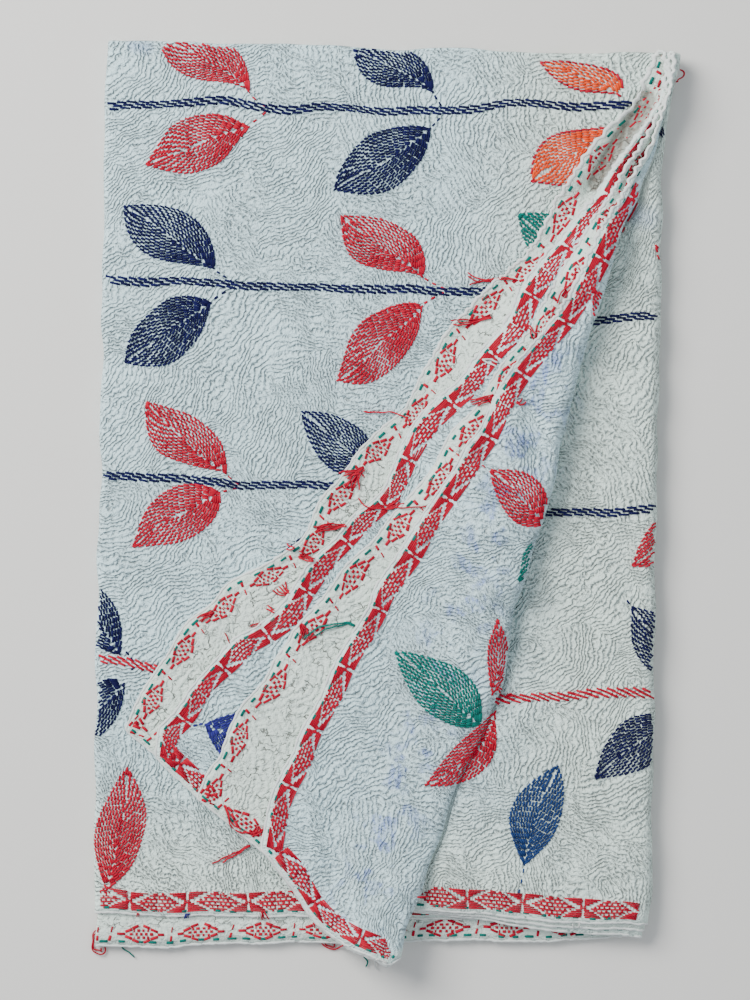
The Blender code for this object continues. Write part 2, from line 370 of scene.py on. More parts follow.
    def flap_row(self, share: Array, up: Array, row_y: Array) -> tuple[Array, Array]:
        """x and y on the flap, from its crest (share 0) to the outermost hem (share 1)."""
        crest_y = row_y - self.row_drop * (1.0 - up) ** 2
        hem_y = blend(self.flap_corner_y, self.flap_tip_y, up)
        x = blend(self.column(crest_y, "crest"), self.column(hem_y, "hem_a"), share)
        bulge = np.sin(math.pi * np.minimum(share / self.bulge_share, 1.0)) ** 2
        return x, blend(crest_y, hem_y, share) - self.flap_bulge * bulge * (1.0 - up) ** 4

    def hem_share(self, hem: str, up: Array, row_y: Array) -> Array:
        """How much of each flap row a layer covers: where the row first meets that layer's hem."""
        if hem == "hem_a":
            return np.ones_like(up)
        shares = np.linspace(0.0, 1.0, 401)
        x, y = self.flap_row(shares, up[..., None], row_y[..., None])
        past = self.column(y, hem) - x
        first = np.clip(np.argmax(past > 0.0, axis=-1), 1, None)[..., None]
        before = np.take_along_axis(past, first - 1, -1)[..., 0]
        after = np.take_along_axis(past, first, -1)[..., 0]
        return shares[first[..., 0] - 1] + shares[1] * (-before / (after - before))

    def top_edge(self, x: Array) -> Array:
        """The y of the fold at the top of the stack."""
        return self.top_edge_y + self.top_edge_slope * (x - self.stack_middle_x)

    def row_height(self, ends: Ends, share: Array, half: Array, up: Array, x: Array) -> Array:
        """The y of a row of the cloth; the hems' unevenness fades out a little way up."""
        even = Place.TOP_TUCK.value.front
        front = (1.0 + half) / 2.0
        first, last = (blend(end.value.inside, end.value.front, front) for end in ends)
        uneven = blend(first, last, share) - even
        straight = blend(even, self.top_edge(x) - self.pitch / 2, up)
        return straight + uneven * (1.0 - up) ** self.hem_fade

    def hem_rise(self, x: Array, y: Array, hem: Array, above: Array) -> Array:
        """How far a layer curls up towards its own hem, in waves along it, where nothing covers it."""
        room = np.clip((above - hem) / self.hem_room, 0.0, 1.0)
        near = smoothstep(1.0 - (x - hem) / self.hem_lift_reach)
        wave = 0.60 + 0.40 * self.hem_waves.at(0.0 * y, y + 0.7 * hem)
        return self.hem_lift * room * near * np.clip(wave, 0.0, self.hem_wave_most)

    def near_tip(self, y: Array) -> Array:
        """1 at the height where the hems open, and falling off as a bell above and below it."""
        return np.exp(-(((y - self.gape_y) / self.gape_reach) ** 2))

    def gape(self, x: Array, y: Array, layer_share: Array) -> Array:
        """How far a layer stands off the one below it near the tip, where the hems open."""
        beside = smoothstep((self.column(y, "crest") - x) / self.gape_width)
        return self.tip_gape * layer_share * self.near_tip(y) * beside

    def flap_layer(self, x: Array, y: Array, half: Array, on_top: bool) -> Array:
        """The middle of one layer of the flap.

        Args:
            x: x of the points.
            y: y of the points.
            half: 1 for the front half of the quilt and -1 for the inside half.
            on_top: whether the layer is of the upper pair.

        Returns:
            The flap's height, with the layer's offset, its gape and its hem's lift near the tip.
        """
        front = (1.0 + half) / 2.0
        if on_top:
            offset = self.pitch * (1.0 + half / 2)
            names, opened = ("hem_c", "hem_d"), 2.0 + half / 2
            above = blend(self.column(y, "hem_d"), self.column(y, "crest"), front)
        else:
            offset = -self.pitch * (1.0 + half / 2)
            names, opened = ("hem_b", "hem_a"), 0.5 - half / 2
            above = blend(self.column(y, "hem_c"), self.column(y, "hem_b"), front)
        hem = blend(self.column(y, names[0]), self.column(y, names[1]), front)
        rise = self.hem_rise(x, y, hem, above)
        stands = 1.0 if on_top else 1.0 - front
        fall = smoothstep(1.0 - (x - hem) / self.tip_lift_reach)
        rise = rise + self.tip_lift * stands * self.near_tip(y) * fall
        return self.flap_height(x, y) + offset + self.gape(x, y, opened) + rise

    def turned(
        self, share: Array, place: Place, radius: Array, side: int, half: Array, up: Array
    ) -> Triple:
        """A point on a fold at the side, from its upper end (share 0) to its lower end (share 1)."""
        middle = self.bottom_turn_level if side < 0 else self.middle_turn_level
        y = self.row_height((place, place), 0.0, half, up, side * self.stack_half_width)
        angle = math.pi * share
        x = self.fold_axis(y, side) + side * radius * np.sin(angle)
        return x, y, self.level(middle) + radius * np.cos(angle)

    def panel(self, ends: Ends, share: Array, height: Array, half: Array, up: Array) -> Triple:
        """A point on a flat panel between the right folds and the left one."""
        x = blend(self.fold_axis(0.0, 1), self.fold_axis(0.0, -1), share)
        y = self.row_height(ends, share, half, up, x)
        return blend(self.fold_axis(y, 1), self.fold_axis(y, -1), share), y, height

    def upper_run(self, run: Run, inward: Array, half: Array, up: Array) -> Triple:
        """A point on one of the four upper layers, from the right fold (inward 0) to the hems."""
        pair = half * self.pitch / 2
        offset = self.pitch + pair if run.on_top else -self.pitch - pair
        tuck = Place.TOP_TUCK if run.on_top else Place.LOW_TUCK
        fold = Place.OUTER_FOLD if run.on_top else Place.INNER_FOLD
        row_y = self.row_height((tuck, tuck), 0.0, half, up, self.tip_x)
        name = run.name.split("_")[0].lower()
        drops = {"valley": (0.0, 0.25), "tuck": (0.25, 0.5), "ridge": (0.75, 0.25)}
        if name == "right":
            x = blend(self.fold_axis(row_y, 1), self.valley_x(row_y), inward)
            y = self.row_height((fold, tuck), inward, half, up, x)
            x = blend(self.fold_axis(y, 1), self.valley_x(y), inward)
            return x, y, self.level(self.upper_level) + offset
        if name in drops:
            start, length = drops[name]
            y = row_y - self.row_drop * (1.0 - up) ** 2 * (start + length * inward)
            x, z = self.tuck_point(name, inward, y, offset)
            return x, y, z
        hems = ("hem_d", "hem_c") if run.on_top else ("hem_a", "hem_b")
        front, inside = (self.hem_share(hem, up, row_y) for hem in hems)
        reach = blend(inside, front, (1.0 + half) / 2.0)
        x, y = self.flap_row(inward * reach, up, row_y)
        return x, y, self.flap_layer(x, y, half, run.on_top)

    def place(self, run: Run, share: Array, half: Array, up: Array) -> Array:
        """Where points of the cloth lie.

        Args:
            run: the run of the row that they are on.
            share: how far along the run.
            half: 1 on the front half, -1 on the inside half, and between round the top fold.
            up: how far up the cloth, from the bottom hem to the top fold.

        Returns:
            Points in the fold's coordinates, with x, y and z along the last axis.
        """
        share, half, up = (np.asarray(v, float) for v in np.broadcast_arrays(share, half, up))
        pair = half * self.pitch / 2
        if run is Run.OUTER_FOLD:
            radius = 3.0 * self.pitch + pair
            found = self.turned(share, Place.OUTER_FOLD, radius, 1, half, up)
        elif run is Run.INNER_FOLD:
            found = self.turned(1.0 - share, Place.INNER_FOLD, self.pitch - pair, 1, half, up)
        elif run is Run.LEFT_FOLD:
            found = self.turned(1.0 - share, Place.LEFT_FOLD, self.pitch + pair, -1, half, up)
        elif run is Run.FLOOR_PANEL:
            ends = (Place.OUTER_FOLD, Place.LEFT_FOLD)
            found = self.panel(ends, share, self.level(0.5) - pair, half, up)
        elif run is Run.FACE_PANEL:
            ends = (Place.INNER_FOLD, Place.LEFT_FOLD)
            found = self.panel(ends, 1.0 - share, self.level(2.5) + pair, half, up)
        else:
            inward = 1.0 - share if run.on_top else share
            found = self.upper_run(run, inward, half, up)
        x, y, z = np.broadcast_arrays(*found)
        round_top = np.sqrt(np.maximum(1.0 - half**2, 0.0)) * self.pitch / 2
        return np.stack([x, y + round_top, z], axis=-1)


@dataclass(frozen=True)
class Crease:
    """A soft trough (depth below 0) or ridge along a line between two points, in millimetres."""

    start: Point2
    end: Point2
    depth: float
    width: float


CREASES = (
    Crease((113, -85), (106, -130), -1.6, 10),
    Crease((96, -100), (101, -160), -1.3, 9),
    Crease((94, -176), (55, -235), -1.2, 10),
    Crease((60, 60), (20, -60), 1.2, 16),
    Crease((0, -120), (-30, -260), -1.2, 20),
    Crease((180, 80), (215, 20), 0.9, 18),
    Crease((150, -90), (215, -130), -0.8, 20),
    Crease((45, -290), (0, -380), -1.4, 12),
    Crease((-210, 140), (-150, 230), 0.7, 22),
    Crease((-60, 290), (60, 260), -0.7, 22),
    Crease((-190, -60), (-120, -20), -0.6, 20),
    Crease((178, 268), (209, 342), -14, 7),
    Crease((148, 222), (172, 262), -3.6, 10),
    Crease((196, 330), (120, 180), 1, 10),
)


@dataclass(frozen=True)
class Settling:
    """How the neat fold becomes a real one, and how it gets into the frame.

    Each height is multiplied by one and a small share that varies over x and y, so that layers keep
    their order; the outline wanders a little; the tip is drawn out to the right; and below the tip
    the ridge is drawn out towards the fold.
    """

    plan: FoldPlan
    pucker: float = 0.040
    most_pucker: float = 0.13
    pucker_waves: Waves = Waves(0.032, 0.080, 11, 30)
    outline_wander: float = 0.0009
    wander_waves: tuple[Waves, Waves] = (Waves(0.035, 0.160, 21), Waves(0.035, 0.160, 22))
    tip_at: Point2 = (0.227, 0.378)
    tip_pull: float = 0.004
    tip_lean: float = 0.013
    tip_reach: float = 0.040
    tip_width: float = 0.09
    ridge_pull: float = 0.0105
    ridge_y: float = 0.325
    ridge_reach: float = 0.045
    ridge_span: Point2 = (0.165, 0.246)
    ridge_fade: Point2 = (0.045, 0.030)
    height_shares: Point2 = (-0.50, 0.18)
    outline_middle: Point2 = (0.0023, -0.0007)

    def creased(self, x: Array, y: Array) -> Array:
        """The depth of the listed creases: each is a bell across its line, fading at its ends."""
        total = np.zeros(np.broadcast(x, y).shape)
        for crease in CREASES:
            start, end = metres(crease.start), metres(crease.end)
            depth, width = metres((crease.depth, crease.width))
            length = float(np.hypot(*(end - start)))
            way = (end - start) / length
            along = ((x - start[0]) * way[0] + (y - start[1]) * way[1]) / length
            across = (x - start[0]) * way[1] - (y - start[1]) * way[0]
            ends = smoothstep(1.0 - np.maximum(-along, along - 1.0) * length / (2.0 * width))
            total = total + depth * ends * np.exp(-((across / width) ** 2))
        return total

    def apply(self, points: Array) -> Array:
        """Settles points and moves them into the frame.

        Args:
            points: x, y and z along the last axis, in the fold's coordinates.

        Returns:
            The points' places in the frame.
        """
        x, y, z = np.moveaxis(points, -1, 0)
        stack = self.plan.level(7)
        share = self.pucker * self.pucker_waves.at(x, y)
        share = np.clip(share, -self.most_pucker, self.most_pucker) + self.creased(x, y) / stack
        height = z * (1.0 + np.clip(share, *self.height_shares))
        near = np.exp(-(((y - self.tip_at[1]) / self.tip_reach) ** 2))
        near = near * smoothstep((x - self.tip_at[0]) / self.tip_width + 1.0)
        pulled = near * (self.tip_pull + self.tip_lean * z / stack)
        drawn = np.exp(-(((y - self.ridge_y) / self.ridge_reach) ** 2)) * self.ridge_pull
        drawn = drawn * smoothstep((x - self.ridge_span[0]) / self.ridge_fade[0])
        drawn = drawn * smoothstep((self.ridge_span[1] - x) / self.ridge_fade[1])
        wander_x, wander_y = (self.outline_wander * waves.at(x, y) for waves in self.wander_waves)
        x = x + pulled + drawn + wander_x - self.outline_middle[0]
        y = y + wander_y - self.outline_middle[1]
        return np.stack([x, y, np.maximum(height, 0.0)], axis=-1)


# Charts of the layers that show


class Cover(Enum):
    """Which part of the top layer a motif is on: either side of the ridge's outline, or both."""

    OVER = "over"
    RIGHT = "right"
    BOTH = "both"


class Chart:
    """The height of one layer's upper face, on an even grid over x and y."""

    step = 0.001
    west, east = -0.262, 0.264
    south, north = -0.412, 0.404
    margin = 0.0004

    def __init__(self, plan: FoldPlan) -> None:
        """Lays out the grid.

        Args:
            plan: the fold that the chart is of.
        """
        self.plan = plan
        self.x = np.arange(self.west, self.east, self.step)
        self.y = np.arange(self.south, self.north, self.step)
        self.z = np.full((len(self.y), len(self.x)), np.nan)
        self.ridge_edge = np.full(len(self.y), np.inf)
        self.west_edge = np.full(len(self.y), -np.inf)
        self.east_edge = np.full(len(self.y), np.inf)

    def within(self, x: Array, y: Array) -> Array:
        """Whether each point lies inside the folds at the sides and at the top."""
        inside = (x > np.interp(y, self.y, self.west_edge)) & (x < np.interp(y, self.y, self.east_edge))
        return inside & (y < self.plan.top_edge(x) - self.margin / 2)

    def sampled(self, x: Array, y: Array) -> Array:
        """The height at each point, blended between the four nearest grid points."""
        across = np.clip((x - self.west) / self.step, 0.0, len(self.x) - 1.001)
        upward = np.clip((y - self.south) / self.step, 0.0, len(self.y) - 1.001)
        i, j = upward.astype(int), across.astype(int)
        u, v = upward - i, across - j
        low = blend(self.z[i, j], self.z[i, j + 1], v)
        return blend(low, blend(self.z[i + 1, j], self.z[i + 1, j + 1], v), u)

    def steepness(self, x: Array, y: Array) -> Array:
        """How steeply the layer rises along x, a millimetre to each side of each point."""
        step = self.step
        return np.abs(self.sampled(x + step, y) - self.sampled(x - step, y)) / (2.0 * step)

    def covers(self, x: Array, y: Array, cover: Cover) -> Array:
        """Whether each point is on the asked side of the ridge's outline."""
        edge = np.interp(y, self.y, self.ridge_edge)
        if cover is Cover.BOTH:
            return np.ones(np.broadcast(x, y).shape, bool)
        return x < edge - 2.0 * self.margin if cover is Cover.OVER else x > edge + self.margin


class UpperChart(Chart):
    """One of the four upper layers: flap, ridge, valley, flat stack and right fold, from above."""

    doubled_back = 75.0
    soft_margin = 0.004

    def __init__(self, plan: FoldPlan, half: int, on_top: bool, hem: str) -> None:
        """Works the chart out, one line of constant y after another.

        Its section runs from the crest over the ridge, down the tuck, through the valley and along
        the stack to the right fold. From above, only what lies furthest to the right so far shows.

        Args:
            plan: the fold.
            half: 1 for the front half and -1 for the inside half.
            on_top: whether the layer is of the upper pair.
            hem: the layer's key in HEM_COURSES.
        """
        super().__init__(plan)
        y = self.y[:, None]
        middle = plan.pitch * (1.0 + half / 2) * (1 if on_top else -1)
        offset = middle + plan.thickness / 2
        arc = np.linspace(1.0, 0.0, 40)[None, :]
        parts = [plan.tuck_point(name, arc, y, offset) for name in ("ridge", "tuck", "valley")]
        angle = np.linspace(0.0, math.pi / 2, 12)[None, :]
        radius = plan.level(plan.upper_level) + offset - plan.level(plan.middle_turn_level)
        fold_x = plan.fold_axis(y, 1) + radius * np.sin(angle)
        fold_z = plan.level(plan.middle_turn_level) + radius * np.cos(angle) + 0.0 * y
        path_x = np.hstack([part[0] for part in parts] + [fold_x])
        path_z = np.hstack([part[1] for part in parts] + [fold_z])
        seen_x = np.maximum.accumulate(path_x, axis=1)
        self.z = np.stack([np.interp(self.x, xs, zs) for xs, zs in zip(seen_x, path_z)])
        flap = plan.flap_layer(self.x[None, :], y, float(half), on_top) + plan.thickness / 2
        crest = plan.column(y, "crest")
        self.z = np.where(self.x[None, :] < crest, flap, self.z)
        turns = plan.column(self.y, "turn")
        ridge_x = parts[0][0].max(axis=1)
        before_valley = plan.valley_x(self.y) - self.soft_margin
        self.ridge_edge = np.where(turns > self.doubled_back, ridge_x, before_valley)
        self.hem = plan.column(self.y, hem)
        self.east_edge = plan.fold_axis(self.y, 1) + radius - self.margin


class PanelChart(Chart):
    """A flat layer below the turned-back ones, with its turn into the fold at the left."""

    def __init__(self, plan: FoldPlan, half: int) -> None:
        """Works the chart out.

        Args:
            plan: the fold.
            half: 1 for the layer that shows, and -1 for the one under it.
        """
        super().__init__(plan)
        top = plan.level(2.5) + half * plan.pitch / 2 + plan.thickness / 2
        middle = plan.level(plan.bottom_turn_level)
        radius = top - middle
        beyond = np.clip(plan.fold_axis(self.y[:, None], -1) - self.x[None, :], 0.0, radius * 0.999)
        self.z = middle + np.sqrt(radius**2 - beyond**2)
        self.west_edge = plan.fold_axis(self.y, -1) - radius + self.margin


# Meshes


def mesh_object(name: str, points: Array, faces: Array, shade: Array | None = None) -> Piece:
    """A mesh object from whole arrays, smooth, at the origin.

    Args:
        name: the object's name.
        points: one row for each point.
        faces: one row of point numbers for each face; all faces have as many corners.
        shade: a number for each point, kept as the attribute "shade".

    Returns:
        The object, in the scene.
    """
    mesh = bpy.data.meshes.new(name)
    mesh.vertices.add(len(points))
    mesh.vertices.foreach_set("co", np.ascontiguousarray(points, np.float32).ravel())
    mesh.loops.add(faces.size)
    mesh.loops.foreach_set("vertex_index", faces.astype(np.int32).ravel())
    mesh.polygons.add(len(faces))
    mesh.polygons.foreach_set("loop_start", np.arange(0, faces.size, faces.shape[1], dtype=np.int32))
    mesh.polygons.foreach_set("use_smooth", np.ones(len(faces), bool))
    if shade is not None:
        mesh.attributes.new("shade", "FLOAT", "POINT").data.foreach_set("value", shade.ravel())
    mesh.update(calc_edges=True)
    piece = bpy.data.objects.new(name, mesh)
    bpy.context.scene.collection.objects.link(piece)
    return piece


@dataclass
class Heap:
    """Many small closed shapes gathered into one mesh."""

    points: list[Array] = field(default_factory=list)
    faces: list[Array] = field(default_factory=list)
    shades: list[Array] = field(default_factory=list)
    size: int = 0

    def add(self, points: Array, faces: Array, shade: Array) -> None:
        """Adds shapes whose faces count their points from 0."""
        self.points.append(points)
        self.faces.append(faces + self.size)
        self.shades.append(shade)
        self.size += len(points)

    def build(self, name: str) -> Piece:
        """The gathered shapes as one object."""
        points, faces = np.concatenate(self.points), np.concatenate(self.faces)
        piece = mesh_object(name, points, faces, np.concatenate(self.shades))
        LOG.info("%s: %d faces", name, len(faces))
        return piece


def rods(rings: Array, tips: Array, shade: Array) -> Triple:
    """Closed rods: rings of points joined along their length, and pointed at both ends.

    Args:
        rings: points indexed by rod, station, place round the ring, and axis.
        tips: points indexed by rod, end and axis.
        shade: one number for each rod.

    Returns:
        Points, triangles and the shade of each point.
    """
    count, stations, sides = rings.shape[:3]
    each = stations * sides + 2
    points = np.concatenate([rings.reshape(count, -1, 3), tips], axis=1).reshape(-1, 3)
    k, s = np.meshgrid(np.arange(stations - 1), np.arange(sides), indexing="ij")
    a, b = k * sides + s, k * sides + (s + 1) % sides
    walls = np.stack([a, b, b + sides, a, b + sides, a + sides], axis=-1).reshape(-1, 3)
    s = np.arange(sides)
    turn = (s + 1) % sides
    last = (stations - 1) * sides
    start = np.stack([turn, s, np.full(sides, each - 2)], axis=-1)
    end = np.stack([last + s, last + turn, np.full(sides, each - 1)], axis=-1)
    one = np.concatenate([walls, start, end])
    faces = (np.arange(count)[:, None, None] * each + one[None]).reshape(-1, 3)
    return points, faces, np.repeat(shade, each)


def frames(course: Array) -> tuple[Array, Array]:
    """The level direction square to each direction of a course, and the one square to both.

    Args:
        course: directions along a line, one row for each point.

    Returns:
        Unit vectors to the side, and unit vectors upwards.
    """
    course = course / np.linalg.norm(course, axis=1)[:, None]
    side = np.cross(course, [0.0, 0.0, 1.0])
    side /= np.maximum(np.linalg.norm(side, axis=1)[:, None], 1e-9)
    return side, np.cross(side, course)


def rings_round(line: Array, side: Array, lift: Array, radius: Any, sides: int) -> Array:
    """A ring of points round each point of a line, by the cosine and sine of even angles."""
    angle = 2.0 * math.pi * np.arange(sides) / sides
    ring = side[:, None] * np.cos(angle)[None, :, None] + lift[:, None] * np.sin(angle)[None, :, None]
    return line[:, None] + ring * np.broadcast_to(radius, len(line))[:, None, None]


# Stitching


class Thread(Enum):
    """The colours of embroidery thread, each with the first word of its piece's name."""

    RED = "red"
    NAVY = "navy"
    TEAL = "teal"
    ORANGE = "orange"
    BLUE = "blue"
    VIOLET = "violet"
    WHITE = "white"


@dataclass(frozen=True)
class StitchSize:
    """How wide a thread lies on the cloth, and how high it stands."""

    width: float = 0.00165
    height: float = 0.00075
    rings: int = 2
    sunk: float = 0.0003
    taper: float = 0.00045


class StitchLayer:
    """Lays stitches on one layer of the cloth, as low rods that follow its upper face."""

    section = np.array([(-0.5, 0.0), (-0.32, 0.9), (0.32, 0.9), (0.5, 0.0)])
    steepest = 1.6

    def __init__(self, chart: Chart, settling: Settling, seed: int) -> None:
        """Keeps what the stitches lie on.

        Args:
            chart: the layer's upper face.
            settling: what is done to every finished point.
            seed: starts the small unevenness of the hand.
        """
        self.chart = chart
        self.settling = settling
        self.draw = np.random.default_rng(seed)

    def lay(
        self, heap: Heap, start: Array, end: Array, size: StitchSize, cover: Cover = Cover.BOTH
    ) -> None:
        """Adds one rod for each stitch: rings at even shares of its length, on the chart.

        Args:
            heap: takes the rods.
            start: x and y of the stitches' first ends.
            end: x and y of their other ends.
            size: the thread's size.
            cover: the part of the layer that the stitches are on.
        """
        middle = (start + end) / 2
        kept = self.chart.covers(middle[:, 0], middle[:, 1], cover)
        kept &= self.chart.steepness(middle[:, 0], middle[:, 1]) < self.steepest
        kept &= self.chart.within(*start.T) & self.chart.within(*end.T)
        start, end = start[kept], end[kept]
        if len(start) == 0:
            return
        way = end - start
        length = np.hypot(way[:, 0], way[:, 1])[:, None]
        side = np.stack([-way[:, 1], way[:, 0]], axis=1) / np.maximum(length, 1e-9)
        taper = np.minimum(size.taper / np.maximum(length, 1e-9), 0.25)
        shares = blend(taper, 1.0 - taper, np.linspace(0.0, 1.0, size.rings)[None, :])
        centre = start[:, None, :] + way[:, None, :] * shares[:, :, None]
        uneven = self.draw.uniform(0.88, 1.14, len(start))
        beside = self.section[:, 0] * size.width
        ring_xy = centre[:, :, None, :] + side[:, None, None, :] * (
            beside[None, None, :, None] * uneven[:, None, None, None]
        )
        lift = self.section[:, 1] * size.height - size.sunk * (self.section[:, 1] == 0)
        ring_z = self.chart.sampled(ring_xy[..., 0], ring_xy[..., 1]) + lift
        rings = np.concatenate([ring_xy, ring_z[..., None]], axis=-1)
        tip_xy = np.stack([start, end], axis=1)
        tip_z = self.chart.sampled(tip_xy[..., 0], tip_xy[..., 1]) - size.sunk
        tips = np.concatenate([tip_xy, tip_z[..., None]], axis=-1)
        shade = self.draw.uniform(0.0, 1.0, len(start))
        points, faces, shades = rods(rings[:, :, ::-1], tips, shade)
        heap.add(self.settling.apply(points), faces, shades)


@dataclass(frozen=True)
class Leaf:
    """A leaf, pointed at both ends and filled with running stitches.

    Its base, tip, half width and bow are in millimetres, and the sizes of its stitches in metres.
    """

    base: Point2
    tip: Point2
    half_width: float
    thread: Thread
    bow: float = 0.0
    cover: Cover = Cover.BOTH
    row_pitch: float = 0.0024
    stitch: float = 0.0042
    gap: float = 0.0003
    slant: float = 0.0006
    fullest: tuple[float, float] = (0.5, 0.5)
    outline_thread: Thread | None = None

    def rows(self, draw: Draw) -> Triple:
        """The ends of the leaf's stitches, and the number of the row that each is in.

        The outline's half width is a sine of the share of the length, to the power 0.85, bent to be
        fullest at the side's own share. Row k lies about k and a half row pitches inside it. Each row
        starts further on than the one outside it, so that the cloth shows as beads between stitches.

        Args:
            draw: for the unevenness of the hand.

        Returns:
            First and last ends, as x and y, and row numbers from the outline inwards.
        """
        base, tip = metres(self.base), metres(self.tip)
        half_width, bow = metres((self.half_width, self.bow))
        length = float(np.hypot(*(tip - base)))
        way = (tip - base) / length
        across = np.array([-way[1], way[0]])
        period = self.stitch + self.gap
        row, count, side = np.meshgrid(
            np.arange(math.ceil(half_width / self.row_pitch)),
            np.arange(-1, math.ceil(length / period) + 1),
            np.array([-1.0, 1.0]),
            indexing="ij",
        )
        begins = np.cumsum(draw.uniform(0.06, 0.42, (row.shape[0], 1, 2)), axis=0) % 1.0
        first = (count + begins + draw.uniform(-0.08, 0.08, row.shape)) * period
        last = first + self.stitch * draw.uniform(0.88, 1.08, row.shape)
        inset = (row + 0.45) * self.row_pitch + draw.uniform(-0.15, 0.15, row.shape) * MM

        bend = np.where(side > 0, *(math.log(0.5) / math.log(share) for share in self.fullest))

        def outline(t: Array) -> Array:
            """The half width at each share of the length."""
            inside = np.sin(math.pi * np.clip(t, 0.0, 1.0) ** bend)
            return half_width * np.maximum(inside, 0.0) ** 0.85

        middle = outline((first + last) / (2.0 * length)) - inset
        kept = (middle > 0.0) & (first > -0.2 * period) & (last < length + 0.2 * period)

        def at(t: Array, off: Array) -> Array:
            """x and y at this length along the leaf and this far from its axis."""
            off = off + bow * 4.0 * (t / length) * (1.0 - t / length)
            return base + t[..., None] * way + off[..., None] * across

        def off(t: Array, outward: float) -> Array:
            """How far the rows are from the axis at this length."""
            nearest = 0.34 * self.row_pitch * np.clip(np.minimum(t, length - t) / 0.006, 0.1, 1.0)
            return side * (np.maximum(outline(t / length) - inset, nearest) + outward)

        ends = np.array([-0.1 * period, length - 0.8 * period])
        starts = np.concatenate([at(first, off(first, -self.slant))[kept], at(ends, 0.0 * ends)])
        ends = ends + self.stitch
        stops = np.concatenate([at(last, off(last, self.slant))[kept], at(ends, 0.0 * ends)])
        return starts, stops, np.concatenate([row[kept], np.zeros(2, int)])


@dataclass(frozen=True)
class Vine:
    """A rope-like vine: rows of slanting stitches along points in millimetres, like brickwork."""

    points: tuple[Point2, ...]
    thread: Thread
    cover: Cover = Cover.BOTH
    rows: int = 3
    row_pitch: float = 0.0024
    stitch: float = 0.0084
    gap: float = 0.0007
    overlap: float = 0.36
    slant: float = -0.15

    def rows_of_stitches(self, draw: Draw) -> tuple[Array, Array]:
        """The ends of the vine's stitches: each lies along the vine, turned by the slant.

        Args:
            draw: for the unevenness of the hand.

        Returns:
            First and last ends, as x and y.
        """
        path = Path(metres(self.points), reach=0.03)
        period = self.stitch + self.gap
        row, count = np.meshgrid(
            np.arange(self.rows) - (self.rows - 1) / 2,
            np.arange(int(path.length / period)),
            indexing="ij",
        )
        along = (count + self.overlap * row + 0.5 + draw.uniform(-0.06, 0.06, row.shape)) * period
        beside = row * self.row_pitch + draw.uniform(-0.12, 0.12, row.shape) * MM
        half = self.stitch / 2
        first = path.at(along - half, beside - self.slant * half)
        last = path.at(along + half, beside + self.slant * half)
        return first.reshape(-1, 2), last.reshape(-1, 2)


class Path:
    """A line over x and y, measured along its length, with its normal to the left of its course."""

    def __init__(
        self, points: Array, reach: float = 0.0, turn_reach: float = 0.0, step: float = 0.002
    ) -> None:
        """Measures the line, and makes it even and smooth.

        Args:
            points: x and y of the line's points.
            reach: how far to each side places are averaged, or 0 for straight lines.
            turn_reach: how far to each side directions are averaged.
            step: the length between the points that are kept.
        """
        lengths = np.concatenate([[0.0], np.cumsum(np.hypot(*np.diff(points, axis=0).T))])
        self.length = float(lengths[-1])
        even = np.linspace(0.0, self.length, max(3, int(self.length / step) + 1))
        line = np.stack([np.interp(even, lengths, points[:, k]) for k in (0, 1)], axis=1)
        self.even, self.line = even, self.averaged(line, round(reach / step))
        course = np.gradient(self.averaged(line, round(max(reach, turn_reach) / step)), axis=0)
        course /= np.maximum(np.hypot(course[:, 0], course[:, 1])[:, None], 1e-12)
        self.normal = np.stack([-course[:, 1], course[:, 0]], axis=1)

    @staticmethod
    def averaged(line: Array, reach: int) -> Array:
        """The line with each point averaged, bell-wise, over this many points to each side."""
        if not reach:
            return line
        bell = np.exp(-np.linspace(-2.0, 2.0, 2 * reach + 1) ** 2)
        padded = np.pad(line, ((reach, reach), (0, 0)), mode="reflect", reflect_type="odd")
        columns = [np.convolve(padded[:, k], bell / bell.sum(), "valid") for k in (0, 1)]
        return np.stack(columns, axis=1)

    def nearest(self, point: Point2) -> float:
        """How far along the line its nearest point to this one, in millimetres, lies."""
        return float(self.even[np.argmin(np.hypot(*(self.line - metres(point)).T))])

    def at(self, along: Array, beside: Array) -> Array:
        """x and y of the points this far along the line and beside it."""
        places = [np.interp(along, self.even, self.line[:, k]) for k in (0, 1)]
        normals = [np.interp(along, self.even, self.normal[:, k]) for k in (0, 1)]
        return np.stack([p + n * beside for p, n in zip(places, normals)], axis=-1)


class Darning(Enum):
    """The two sides of the darned border: solid on the front of the cloth, dotted on the reverse."""

    FRONT = "front"
    REVERSE = "reverse"


